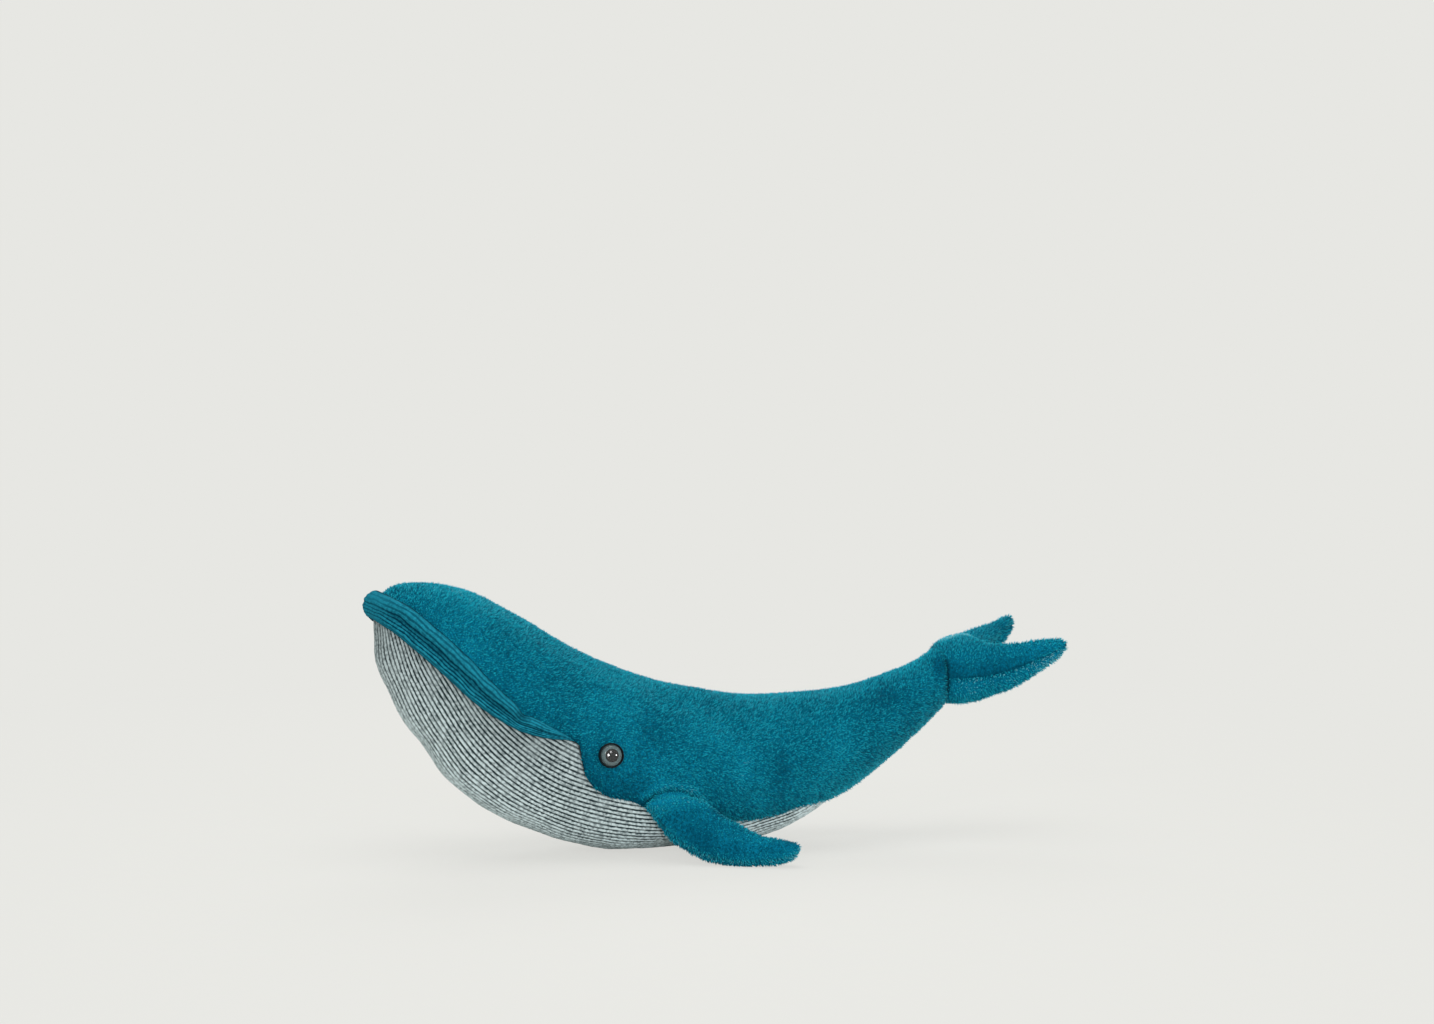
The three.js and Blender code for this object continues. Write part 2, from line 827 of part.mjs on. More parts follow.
for (const [name, side] of Object.entries(sides)) {
  whale.add(
    placed(eyeFrame(side), [
      named(`eye_cup_${name}`, eyeCup(), blackPlastic, 0.25),
      named(`eye_iris_${name}`, eyeIris(), silverTeal, 0.3, 0.6),
      named(`eye_lens_${name}`, eyeLens(), clearLens, 0.05),
      named(`eye_washer_${name}`, eyeWasher(), naturalCotton, 0.5),
    ]),
  );
}

for (const [name, side] of Object.entries(sides)) {
  const sections = finSections();
  whale.add(
    placed(finFrame(side), [
      named(`fin_${name}_upper`, leafPanel(sections, finLift, side, true), tealPile, 0.95),
      named(`fin_${name}_under`, leafPanel(sections, finLift, side, false), tealUnder, 0.95),
      named(`fin_${name}_filling`, leafCore(sections, finLift, side, clothWall + fillRoom), whiteFibre, 1),
    ]),
  );
}

const flukeRoom = tailWedge(-1, new THREE.Vector3());
const flukes = flukeSections();
const flukeUpper = cut(leafPanel(flukes, flukeLift, 1, true), [flukeRoom]);
const flukeUnder = cut(leafPanel(flukes, flukeLift, 1, false), [flukeRoom]);
const flukeFilling = cut(leafCore(flukes, flukeLift, 1, clothWall + fillRoom), [flukeRoom]);
whale.add(
  placed(new THREE.Matrix4().setPosition(tailOrigin), [
    named("flukes_upper", flukeUpper, tealPile, 0.95),
    named("flukes_under", flukeUnder, tealUnder, 0.95),
    named("flukes_filling", flukeFilling, whiteFibre, 1),
  ]),
);

// The footprint's middle goes to the origin.
const footprint = new THREE.Box3().setFromObject(whale, true);
whale.position.x = -footprint.getCenter(new THREE.Vector3()).x;

export default whale;
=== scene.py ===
import json
import math

import bpy
import numpy as np
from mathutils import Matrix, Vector


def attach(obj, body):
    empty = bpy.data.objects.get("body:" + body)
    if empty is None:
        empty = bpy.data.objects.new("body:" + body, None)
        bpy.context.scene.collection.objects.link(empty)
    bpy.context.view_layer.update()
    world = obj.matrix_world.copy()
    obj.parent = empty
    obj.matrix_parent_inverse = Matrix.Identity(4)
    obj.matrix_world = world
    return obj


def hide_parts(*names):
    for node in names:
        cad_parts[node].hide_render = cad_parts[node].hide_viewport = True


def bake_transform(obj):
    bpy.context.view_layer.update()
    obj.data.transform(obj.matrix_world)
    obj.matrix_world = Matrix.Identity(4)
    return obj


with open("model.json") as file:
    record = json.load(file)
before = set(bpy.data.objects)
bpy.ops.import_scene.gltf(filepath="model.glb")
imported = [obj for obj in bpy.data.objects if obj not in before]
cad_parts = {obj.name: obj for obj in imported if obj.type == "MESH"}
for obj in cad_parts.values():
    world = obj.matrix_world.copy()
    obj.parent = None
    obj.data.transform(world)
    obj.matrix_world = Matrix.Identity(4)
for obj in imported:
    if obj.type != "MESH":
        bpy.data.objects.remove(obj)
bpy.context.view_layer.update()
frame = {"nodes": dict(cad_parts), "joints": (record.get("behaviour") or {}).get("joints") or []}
joints = {joint["name"]: joint for joint in frame["joints"]}
tailHinge = joints["flukes_tilt"]["pos_m"]
acrossMirror = np.array([1, -1, 1])
print("Packed whale loaded")


# Small helpers for arrays of places


def curveThrough(points, places):
    points = np.asarray(points, float)
    last = len(points) - 1
    places = np.clip(np.asarray(places, float), 0, last)
    first = np.minimum(places.astype(int), last - 1)
    share = (places - first)[..., None]
    a, b = points[np.maximum(first - 1, 0)], points[first]
    c, d = points[first + 1], points[np.minimum(first + 2, last)]
    leave, arrive = (c - a) / 2, (d - b) / 2
    cubic = (2 * b - 2 * c + leave + arrive) * share**3
    square = (3 * c - 3 * b - 2 * leave - arrive) * share**2
    return cubic + square + leave * share + b


def easeStep(value, low, high):
    share = np.clip((value - low) / (high - low), 0, 1)
    return share * share * (3 - 2 * share)


def unit(vectors):
    return vectors / np.maximum(np.linalg.norm(vectors, axis=-1, keepdims=True), 1e-12)


# A soft bump that falls away over its reach, or over a reach each way
def bell(distance, reach, across=0, spread=1):
    return np.exp(-((distance / reach) ** 2) - (across / spread) ** 2)


# A bump given as its height, middle and reach
def band(values, bump):
    height, middle, reach = bump
    return height * bell(values - middle, reach)


# Length run so far along each row of places
def runLength(places):
    steps = np.linalg.norm(np.diff(places, axis=-2), axis=-1)
    return np.concatenate([0 * steps[..., :1], np.cumsum(steps, axis=-1)], axis=-1)


# Outward directions of a sheet of places
def sheetNormals(places):
    along, across = np.gradient(places, axis=0), np.gradient(places, axis=1)
    found = unit(np.cross(along, across))
    fromMiddle = places - places.mean(axis=(0, 1))
    return found * np.sign((found * fromMiddle).sum())


# Soft uneven heights over the object's own space, the same on every run
def lumps(places, size, seed):
    chance = np.random.default_rng(seed)
    found = np.zeros(places.shape[:-1])
    for _ in range(9):
        wave = unit(chance.normal(size=3)) * 2 * np.pi / size * chance.uniform(0.7, 1.5)
        found += np.sin(places @ wave + chance.uniform(0, 2 * np.pi))
    return found / 3


# Whole-number noise with smooth sides, for fine pile and cord
def grain(places, size, seed):
    spots = places / size
    base = np.floor(spots).astype(np.int64)
    part = spots - base
    part = part * part * (3 - 2 * part)
    found = np.zeros(places.shape[:-1])
    for corner in np.ndindex(2, 2, 2):
        cell = base + np.array(corner)
        mixed = cell[..., 0] * 73856093 ^ cell[..., 1] * 19349663 ^ cell[..., 2] * 83492791
        mixed = (mixed + seed * 7919) * 2654435761 & 0xFFFFFFFF
        value = ((mixed ^ mixed >> 15) & 0xFFFF) / 0x7FFF - 1
        weight = np.prod(np.where(np.array(corner) == 1, part, 1 - part), axis=-1)
        found += value * weight
    return found


# Values between the four neighbours of each cell
def readCells(values, row, column, u, v):
    near = values[row, column] * (1 - v) + values[row, column + 1] * v
    far = values[row + 1, column] * (1 - v) + values[row + 1, column + 1] * v
    return near * (1 - u) + far * u


def smoothRows(values, times):
    for _ in range(times):
        inner = (values[:-2] + 2 * values[1:-1] + values[2:]) / 4
        values = np.concatenate([values[:1], inner, values[-1:]])
    return values


# Blender helpers


def clearSelection():
    for thing in bpy.context.selected_objects:
        thing.select_set(False)


def chooseOnly(piece):
    clearSelection()
    piece.select_set(True)
    bpy.context.view_layer.objects.active = piece


# A grid primitive whose vertices are moved to the given rows and columns of places
def gridPiece(name, places, clothMap=None):
    rows, columns = places.shape[:2]
    clearSelection()
    bpy.ops.mesh.primitive_grid_add(x_subdivisions=columns - 1, y_subdivisions=rows - 1, size=1)
    piece = bpy.context.object
    piece.name = piece.data.name = name
    piece.data.vertices.foreach_set("co", np.ascontiguousarray(places, np.float32).ravel())
    if clothMap is not None:
        corners = np.empty(len(piece.data.loops), np.int32)
        piece.data.loops.foreach_get("vertex_index", corners)
        layer = piece.data.uv_layers[0]
        layer.name = "clothMap"
        flat = np.asarray(clothMap, np.float32).reshape(-1, 2)
        layer.data.foreach_set("uv", flat[corners].ravel())
    piece.data.update()
    return piece


# Welds a piece's doubles, closes its ends and turns its faces outwards
def closePiece(piece, weld=2e-6):
    chooseOnly(piece)
    bpy.ops.object.mode_set(mode="EDIT")
    bpy.ops.mesh.select_all(action="SELECT")
    bpy.ops.mesh.remove_doubles(threshold=weld)
    bpy.ops.mesh.select_all(action="DESELECT")
    bpy.ops.mesh.select_non_manifold(extend=False, use_boundary=True)
    bpy.ops.mesh.fill_holes(sides=0)
    bpy.ops.mesh.select_all(action="SELECT")
    bpy.ops.mesh.normals_make_consistent(inside=False)
    bpy.ops.object.mode_set(mode="OBJECT")
    bpy.ops.object.shade_smooth()


def setPointValues(piece, name, values):
    layer = piece.data.attributes.new(name, "FLOAT", "POINT")
    layer.data.foreach_set("value", np.asarray(values, np.float32).ravel())


# Blows up a sheet of cloth with its seams held, and gives back the places it comes to
def inflate(name, sheet, held, air):
    cage = gridPiece(name, sheet)
    group = cage.vertex_groups.new(name="seams")
    group.add([int(i) for i in np.flatnonzero(held)], 1, "REPLACE")
    cloth = cage.modifiers.new("Cloth", "CLOTH")
    cloth.point_cache.frame_start, cloth.point_cache.frame_end = 1, air["frames"]
    settings = cloth.settings
    settings.quality, settings.mass = air["steps"], air["mass"]
    settings.tension_stiffness = settings.compression_stiffness = air["stretch"]
    settings.shear_stiffness, settings.bending_stiffness = air["shear"], air["bend"]
    settings.shrink_min = -air["spareCloth"]
    settings.use_pressure, settings.uniform_pressure_force = True, air["pressure"]
    settings.vertex_group_mass = "seams"
    settings.effector_weights.gravity = 0
    cloth.collision_settings.use_collision = False
    for step in range(1, air["frames"] + 1):
        bpy.context.scene.frame_set(step)
    made = cage.evaluated_get(bpy.context.evaluated_depsgraph_get())
    found = np.empty(sheet.size, np.float32)
    made.data.vertices.foreach_get("co", found)
    bpy.data.objects.remove(cage)
    bpy.context.scene.frame_set(1)
    moved = found.reshape(sheet.shape) - sheet
    far = np.linalg.norm(moved, axis=-1, keepdims=True)
    print(f"  {name}: cloth moved {far.mean() * 1000:.1f} mm, at most {far.max() * 1000:.1f} mm")
    return sheet + moved * np.minimum(1, air["cap"] / np.maximum(far, 1e-9))


# Camera and light

view = {"lens": 83.9, "sensor": 36, "turn": -16, "height": 7, "distance": 2.5, "aimUp": 3.544}
view["target"] = (0.0045, 0, 0.095)


# Direction from the target back to the camera, for a turn and a height in degrees
def lookBack(turn, height):
    turn, height = math.radians(turn), math.radians(height)
    return Vector((math.sin(turn) * math.cos(height), -math.cos(turn) * math.cos(height), math.sin(height)))


def aim(thing, direction):
    thing.rotation_mode = "QUATERNION"
    thing.rotation_quaternion = direction.to_track_quat("-Z", "Y")


def addCamera():
    place = Vector(view["target"]) + lookBack(view["turn"], view["height"]) * view["distance"]
    clearSelection()
    bpy.ops.object.camera_add(location=place)
    camera = bpy.context.object
    camera.name = "photoCamera"
    aim(camera, -lookBack(view["turn"], view["height"] - view["aimUp"]))
    camera.data.lens, camera.data.sensor_width = view["lens"], view["sensor"]
    camera.data.clip_start, camera.data.clip_end = 0.05, 60
    bpy.context.scene.camera = camera


lampAim = (0, 0, 0.09)
lamps = {
    "leftBox": {"place": (-0.99, -1.87, 0.85), "size": 0.3, "power": 6.5},
    "frontBox": {"place": (-0.27, -2.22, 0.42), "size": 0.38, "power": 10.5},
    "rightBox": {"place": (1.12, -1.88, 0.34), "size": 0.3, "power": 5},
    "windowBox": {"place": (0.19, -2.08, 0.92), "size": 0.3, "power": 2.5},
    "topSoft": {"place": (-0.25, -0.3, 1.9), "size": 1.6, "power": 15},
    "backSoft": {"place": (0.3, 1.6, 1.3), "size": 1.3, "power": 14},
}


def addLamps():
    for name, lamp in lamps.items():
        clearSelection()
        bpy.ops.object.light_add(type="AREA", location=lamp["place"])
        light = bpy.context.object
        light.name = name
        light.data.shape, light.data.size = "DISK", lamp["size"]
        light.data.energy = lamp["power"]
        aim(light, Vector(lampAim) - Vector(lamp["place"]))


# Node helpers. Each gives back the output that is read next


def setSockets(tree, node, values):
    for socket, value in values.items():
        if isinstance(value, bpy.types.NodeSocket):
            tree.links.new(value, node.inputs[socket])
        else:
            node.inputs[socket].default_value = value


def addNode(tree, kind, sockets=None, **settings):
    node = tree.nodes.new("ShaderNode" + kind)
    for name, value in settings.items():
        setattr(node, name, value)
    setSockets(tree, node, sockets or {})
    return node


def newMaterial(name):
    material = bpy.data.materials.new(name)
    material.use_nodes = True
    return material, material.node_tree, material.node_tree.nodes["Principled BSDF"]


def newGroup(name, inputs, outputs):
    group = bpy.data.node_groups.new(name, "ShaderNodeTree")
    kinds = {"value": "NodeSocketFloat", "colour": "NodeSocketColor", "vector": "NodeSocketVector"}
    for way, sockets in (("INPUT", inputs), ("OUTPUT", outputs)):
        for socket, kind in sockets.items():
            group.interface.new_socket(socket, in_out=way, socket_type=kinds[kind])
    return group, group.nodes.new("NodeGroupInput").outputs, group.nodes.new("NodeGroupOutput")


def useGroup(tree, group, sockets):
    node = tree.nodes.new("ShaderNodeGroup")
    node.node_tree = group
    setSockets(tree, node, sockets)
    return node.outputs


def blendColours(tree, factor, first, second):
    sockets = {0: factor, 6: first, 7: second}
    return addNode(tree, "Mix", sockets, data_type="RGBA", clamp_result=True).outputs[2]


def blendValues(tree, factor, first, second):
    return addNode(tree, "Mix", {0: factor, 2: first, 3: second}).outputs[0]


def doMath(tree, operation, *values, clamp=False):
    return addNode(tree, "Math", dict(enumerate(values)), operation=operation, use_clamp=clamp).outputs[0]


def spanOf(tree, value, low, high, least=0.0, most=1.0):
    span = {"Value": value, "From Min": low, "From Max": high, "To Min": least, "To Max": most}
    return addNode(tree, "MapRange", span).outputs["Result"]


def noiseOf(tree, place, scale, detail, twist=0.0):
    noise = {"Vector": place, "Scale": scale, "Detail": detail, "Distortion": twist}
    return addNode(tree, "TexNoise", noise).outputs["Fac"]


def bumpOf(tree, height, strength, distance, sunk=False):
    bump = {"Height": height, "Strength": strength, "Distance": distance}
    return addNode(tree, "Bump", bump, invert=sunk).outputs["Normal"]


def objectPlace(tree):
    return addNode(tree, "TexCoord").outputs["Object"]


def clothPlace(tree):
    return addNode(tree, "UVMap", uv_map="clothMap").outputs["UV"]


def pointValue(tree, name):
    return addNode(tree, "Attribute", attribute_name=name).outputs["Fac"]


# Floor and backdrop

stage = {
    "paper": (0.799, 0.799, 0.768, 1), "radius": 14, "litShare": 0.22, "fadeFrom": 0.35, "fadeTo": 1.1,
    "fibreScale": 60.0, "fibreShare": 0.04, "skyLight": 0.6,
}


# The camera, gloss and glass all see the plain paper: 1 for their rays and 0 for the rest
def plainRays(tree):
    light = addNode(tree, "LightPath").outputs
    rays = doMath(tree, "MAXIMUM", light["Is Camera Ray"], light["Is Glossy Ray"])
    return doMath(tree, "MAXIMUM", rays, light["Is Transmission Ray"])


def addStage():
    clearSelection()
    bpy.ops.mesh.primitive_circle_add(vertices=96, radius=stage["radius"], fill_type="NGON")
    floor = bpy.context.object
    floor.name = "floor"
    material, tree, shader = newMaterial("studioPaper")
    paper, place = stage["paper"], objectPlace(tree)
    fibres = addNode(tree, "TexNoise", {"Vector": place, "Scale": stage["fibreScale"]}).outputs["Color"]
    warm = blendColours(tree, stage["fibreShare"], paper, fibres)
    setSockets(tree, shader, {"Base Color": warm, "Roughness": 1, "Specular IOR Level": 0})
    glow = addNode(tree, "Emission", {"Color": paper, "Strength": 1.0})
    distance = addNode(tree, "VectorMath", {0: place}, operation="LENGTH").outputs["Value"]
    # The floor shows the toy's shadow near it and fades into plain paper further out
    fade = spanOf(tree, distance, stage["fadeFrom"], stage["fadeTo"], 1 - stage["litShare"])
    seen = doMath(tree, "MULTIPLY", fade, plainRays(tree))
    mixed = addNode(tree, "MixShader", {0: seen, 1: shader.outputs[0], 2: glow.outputs[0]})
    setSockets(tree, tree.nodes["Material Output"], {"Surface": mixed.outputs[0]})
    floor.data.materials.append(material)
    world = bpy.data.worlds.new("studio")
    bpy.context.scene.world = world
    world.use_nodes = True
    sky = world.node_tree
    strength = blendValues(sky, plainRays(sky), stage["skyLight"], 1.0)
    setSockets(sky, sky.nodes["Background"], {"Color": paper, "Strength": strength})
    bpy.context.scene.view_settings.view_transform = "Standard"


addCamera()
addLamps()
addStage()
print("Camera, lamps and floor placed")


# Form of the body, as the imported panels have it: back line, belly line and half width at each station

bodyForm = {
    "length": 0.454, "height": 0.199, "halfWidth": 0.070, "flatDepth": 0.0005, "tailSeam": 0.969,
    "endStation": 15.22, "sideTurn": 0.35, "mostTurn": 0.999, "outStep": 0.004, "finePoints": 1200,
    # Place along and height of the back line, the same of the belly line, and half width, as shares
    "stations": [
        (0.009, 0.94, 0.009, 0.94, 0.0), (0.03, 0.985, 0.014, 0.815, 0.31),
        (0.06, 1.022, 0.022, 0.715, 0.47), (0.112, 1.026, 0.046, 0.565, 0.64),
        (0.174, 0.985, 0.084, 0.43, 0.77), (0.243, 0.903, 0.135, 0.273, 0.87),
        (0.315, 0.8, 0.213, 0.14, 0.94), (0.392, 0.708, 0.298, 0.05, 0.985),
        (0.47, 0.645, 0.401, 0.0, 1.0), (0.547, 0.602, 0.504, 0.0, 0.985),
        (0.622, 0.575, 0.6, 0.006, 0.93), (0.697, 0.572, 0.694, 0.058, 0.83),
        (0.771, 0.58, 0.785, 0.17, 0.7), (0.84, 0.607, 0.866, 0.3, 0.57),
        (0.905, 0.657, 0.928, 0.412, 0.44), (0.955, 0.722, 0.972, 0.5, 0.34),
        (1.0, 0.785, 1.005, 0.54, 0.3),
    ],
    "seam": [
        (0.19, 0.42), (0.5, 0.4), (1.0, 0.4), (1.5, 0.415), (2.0, 0.43), (2.6, 0.45), (3.2, 0.464),
        (3.8, 0.48), (4.4, 0.493), (5.0, 0.495), (5.5, 0.494), (6.0, 0.478), (6.32, 0.465),
        (6.58, 0.464), (6.72, 0.511), (6.86, 0.555), (7.02, 0.58), (7.19, 0.596), (7.38, 0.606),
        (7.7, 0.602), (8.02, 0.621), (8.5, 0.636), (9.0, 0.655), (9.5, 0.675), (9.91, 0.69),
        (10.4, 0.697), (10.87, 0.691), (11.15, 0.701), (11.39, 0.728), (11.65, 0.772),
        (12.0, 0.833), (12.4, 0.905), (12.7, 0.983),
    ],
}
scaled = np.array(bodyForm["stations"])
scaled[:, [0, 2]] *= bodyForm["length"]
scaled[:, [1, 3]] *= bodyForm["height"]
scaled[:, 4] *= bodyForm["halfWidth"]
snoutX = tailHinge[0] - bodyForm["tailSeam"] * bodyForm["length"]


# Place on the body's skin: a station, and a turn that is 0 at the back and -1 or 1 at the belly
def bodyPlace(station, turn):
    station, turn = np.broadcast_arrays(np.asarray(station, float), np.asarray(turn, float))
    row = curveThrough(scaled, station)
    rise = (1 + np.cos(np.pi * turn)) / 2
    x = snoutX + row[..., 2] + (row[..., 0] - row[..., 2]) * rise
    z = row[..., 3] + (row[..., 1] - row[..., 3]) * rise - bodyForm["flatDepth"]
    return np.stack([x, row[..., 4] * np.sin(np.pi * turn), z], axis=-1)


def bodyOut(station, turn):
    step = bodyForm["outStep"]
    ahead, behind = np.minimum(station + step, len(scaled) - 1), np.maximum(station - step, step)
    along = bodyPlace(ahead, turn) - bodyPlace(behind, turn)
    around = bodyPlace(station, turn + step) - bodyPlace(station, turn - step)
    return unit(np.cross(along, around))


def seamTurn(station):
    places, turns = np.array(bodyForm["seam"]).T
    return np.interp(station, places, turns)


# Stations at even steps along the side of the body
def evenStations(first, last, step):
    fine = np.linspace(first, last, bodyForm["finePoints"])
    run = runLength(bodyPlace(fine, bodyForm["sideTurn"]))
    return np.interp(np.linspace(0, run[-1], max(int(run[-1] / step), 2)), run, fine)


eyeSpot = (7.17, 0.463)


# Distance from the eye, as seen from the side
def fromEye(places):
    return np.linalg.norm((places - bodyPlace(*eyeSpot)) * [1, 0, 1], axis=2)


# Stuffing the body: a sheet round the whole body swells between its seams

stuffing = {
    "start": 0.35, "rowStep": 0.0075, "sideColumns": 13, "bellyColumns": 8, "startInside": 0.0016,
    "frames": 20, "steps": 5, "mass": 0.4, "stretch": 30, "shear": 12, "bend": 0.8, "spareCloth": 0.03,
    "pressure": 5.0, "cap": 0.006, "most": 0.0009, "share": 0.45,
}


def stuffBody():
    stations = evenStations(stuffing["start"], bodyForm["endStation"], stuffing["rowStep"])
    seams = np.minimum(seamTurn(stations), bodyForm["mostTurn"])[:, None]
    side = np.linspace(0, 1, stuffing["sideColumns"])[None] * seams
    belly = seams + (1 - seams) * np.linspace(0, 1, stuffing["bellyColumns"] + 1)[None, 1:]
    half = np.concatenate([side, belly], axis=1)
    turns = np.concatenate([-half[:, :0:-1], half], axis=1)
    rows = stations[:, None] + 0 * turns
    skin, out = bodyPlace(rows, turns), bodyOut(rows, turns)
    start = skin - out * stuffing["startInside"]
    middle = half.shape[1] - 1
    held = np.zeros(turns.shape, bool)
    held[[0, -1]] = held[:, [0, -1]] = True
    for seam in (stuffing["sideColumns"] - 1, 1 - stuffing["sideColumns"]):
        held[:, middle + seam] = True
    shaped = inflate("bodyStuffing", start, held, stuffing)
    swell = ((shaped - start) * out).sum(-1)
    swell = (swell - np.median(swell[~held])) * stuffing["share"]
    for _ in range(2):
        swell = smoothRows(smoothRows(swell, 1).swapaxes(0, 1), 1).swapaxes(0, 1)
    return stations, np.tanh(swell / stuffing["most"]) * stuffing["most"]


swellStations, bodySwell = stuffBody()


# How far the stuffed cloth stands out of the plain form, at stations and turns
def swellAt(station, turn):
    rows = np.interp(station, swellStations, np.arange(len(swellStations)))
    seam = np.minimum(seamTurn(station), bodyForm["mostTurn"])
    size = np.abs(turn)
    sideLast = stuffing["sideColumns"] - 1
    onSide = np.clip(size / seam, 0, 1) * sideLast
    onBelly = sideLast + np.clip((size - seam) / (1 - seam + 1e-9), 0, 1) * stuffing["bellyColumns"]
    middle = sideLast + stuffing["bellyColumns"]
    column = middle + np.sign(turn) * np.where(size <= seam, onSide, onBelly)
    firstRow = np.clip(np.floor(rows).astype(int), 0, len(swellStations) - 2)
    firstColumn = np.clip(np.floor(column).astype(int), 0, bodySwell.shape[1] - 2)
    u, v = rows - firstRow, column - firstColumn
    u, v = u * u * (3 - 2 * u), v * v * (3 - 2 * v)
    return readCells(bodySwell, firstRow, firstColumn, u, v)


print("Body stuffed")


# Places where the stuffed toy stands a little in or out of the plain form: station, turn from the
# back, reach in stations, reach in turns and height
trims = [
    (2.9, 0.0, 1.3, 0.3, -0.0024), (14.9, 0.0, 0.9, 0.35, -0.0022), (1.8, 1.0, 1.0, 0.3, 0.0024),
    (7.0, 1.0, 0.8, 0.3, -0.0018),
]
# Painted shade and painted light on the pile, as rows of the same kind with a tone last
# Darker round the eye and in the fold ahead of the tail seam, lighter on the head's top and along the tail's
# lower edge, and other patches
lightAndShadeSpots = [
    (7.65, 0.56, 0.45, 0.07, -0.5), (6.95, 0.56, 0.3, 0.05, -0.35), (7.81, 0.378, 0.22, 0.1, -0.3),
    (13.2, 0.24, 0.25, 0.12, -0.5), (10.46, 0.5, 0.18, 0.12, -0.35), (9.66, 0.445, 0.15, 0.08, 0.3),
    (14.87, 0.3, 0.17, 0.1, -1.3), (4.0, 0.1, 1.8, 0.1, 0.3), (12.0, 0.53, 0.8, 0.1, 0.15),
    (13.4, 0.93, 1.2, 0.15, 0.5), (12.0, 0.8, 0.9, 0.09, 0.4), (14.2, 0.0, 0.7, 0.1, 0.25),
]


def spotSum(spots, station, turn):
    total = 0 * station
    for place, way, reach, spread, height in spots:
        total = total + height * bell(station - place, reach, np.abs(turn) - way, spread)
    return total


# How far a panel's cloth stands out of the plain form, before its own seams and ribs
def clothHeight(rows, turns, skin, look):
    raised = swellAt(rows, turns) + spotSum(trims, rows, turns)
    return raised + look["lumpHeight"] * lumps(skin, look["lumpSize"], look["lumpSeed"])


# Places across the inside of a panel's wall, from its last edge back to its first
def backingShares(look):
    return np.linspace(1, -1, look["backingColumns"] + 2)[1:-1]


# Closes a panel with the inside of its wall, and maps the cloth along and across it
def backedPanel(outer, stations, innerTurns, wall, along, across, innerAcross):
    rows = stations[:, None] + 0 * innerTurns
    inner = bodyPlace(rows, innerTurns) - bodyOut(rows, innerTurns) * wall
    ring, clothMap = closedRing(outer, inner, along, across, innerAcross)
    clothMap[:, -1, 1] = clothMap[:, 0, 1]
    return ring, clothMap


def closedRing(outer, inner, along, across, innerAcross):
    ring = np.concatenate([outer, inner, outer[:, :1]], axis=1)
    clothMap = np.zeros(ring.shape[:2] + (2,))
    clothMap[..., 0] = along[:, None]
    clothMap[:, : outer.shape[1], 1] = across
    clothMap[:, outer.shape[1] : -1, 1] = innerAcross
    return ring, clothMap


# Teal plush over the back and sides

backPlush = {
    "start": 0.3, "rowStep": 0.0016, "columns": 190, "backingColumns": 16, "wall": 0.0055, "mapScale": 4,
    "lumpSize": 0.05, "lumpHeight": 0.0005, "lumpSeed": 3, "clumpSize": 0.0034, "clumpHeight": 0.0003,
    "inset": 0.0011, "seamWidth": 0.0035, "seamDepth": 0.0012, "endCrease": 0.0032, "endDepth": 0.0022,
    "eyeDimple": 0.0011, "eyeReach": 0.0125, "floor": 0.0004,
    # Where the seam closes under the tail, in stations, and how much of its groove goes
    "closes": (12.5, 12.9), "closedShare": 0.75,
    "ridge": [(7.93, 0.579), (8.08, 0.542), (8.35, 0.522), (8.69, 0.538), (8.96, 0.579), (9.21, 0.632)],
    "ridgePoints": 40, "ridgeHeight": 0.0016, "ridgeReach": 0.0026, "ridgeLight": 0.55,
    # Painted highlight on the fin's ridge, and painted shade in the fold below it
    "foldShade": (-0.5, 0.0055, 0.0028),
    # The seam at the tail gapes low on the sides and closes over the top, between two heights
    # Painted shade reaches out from the tail seam between two lengths, and fills the seam grooves by a share
    "tailCloses": (0.006, 0.017), "tailClosed": 0.7, "tailShadeReach": (0.0012, 0.0022), "seamGrooveShade": 0.8,
    "caps": [0.93, 0.8, 0.6, 0.35, 0.12], "capOut": (0.0009, 0, 0.0003), "capStep": 0.003,
    # Pile: bare round the eye, up to the tail's seam, and longer beside the seams
    "eyeBare": (0.0078, 0.0092), "tailBare": (-0.001, 0.0009), "bareSlope": (0.0016, 0.3),
    "longerBy": 0.35, "longerReach": 0.004,
}


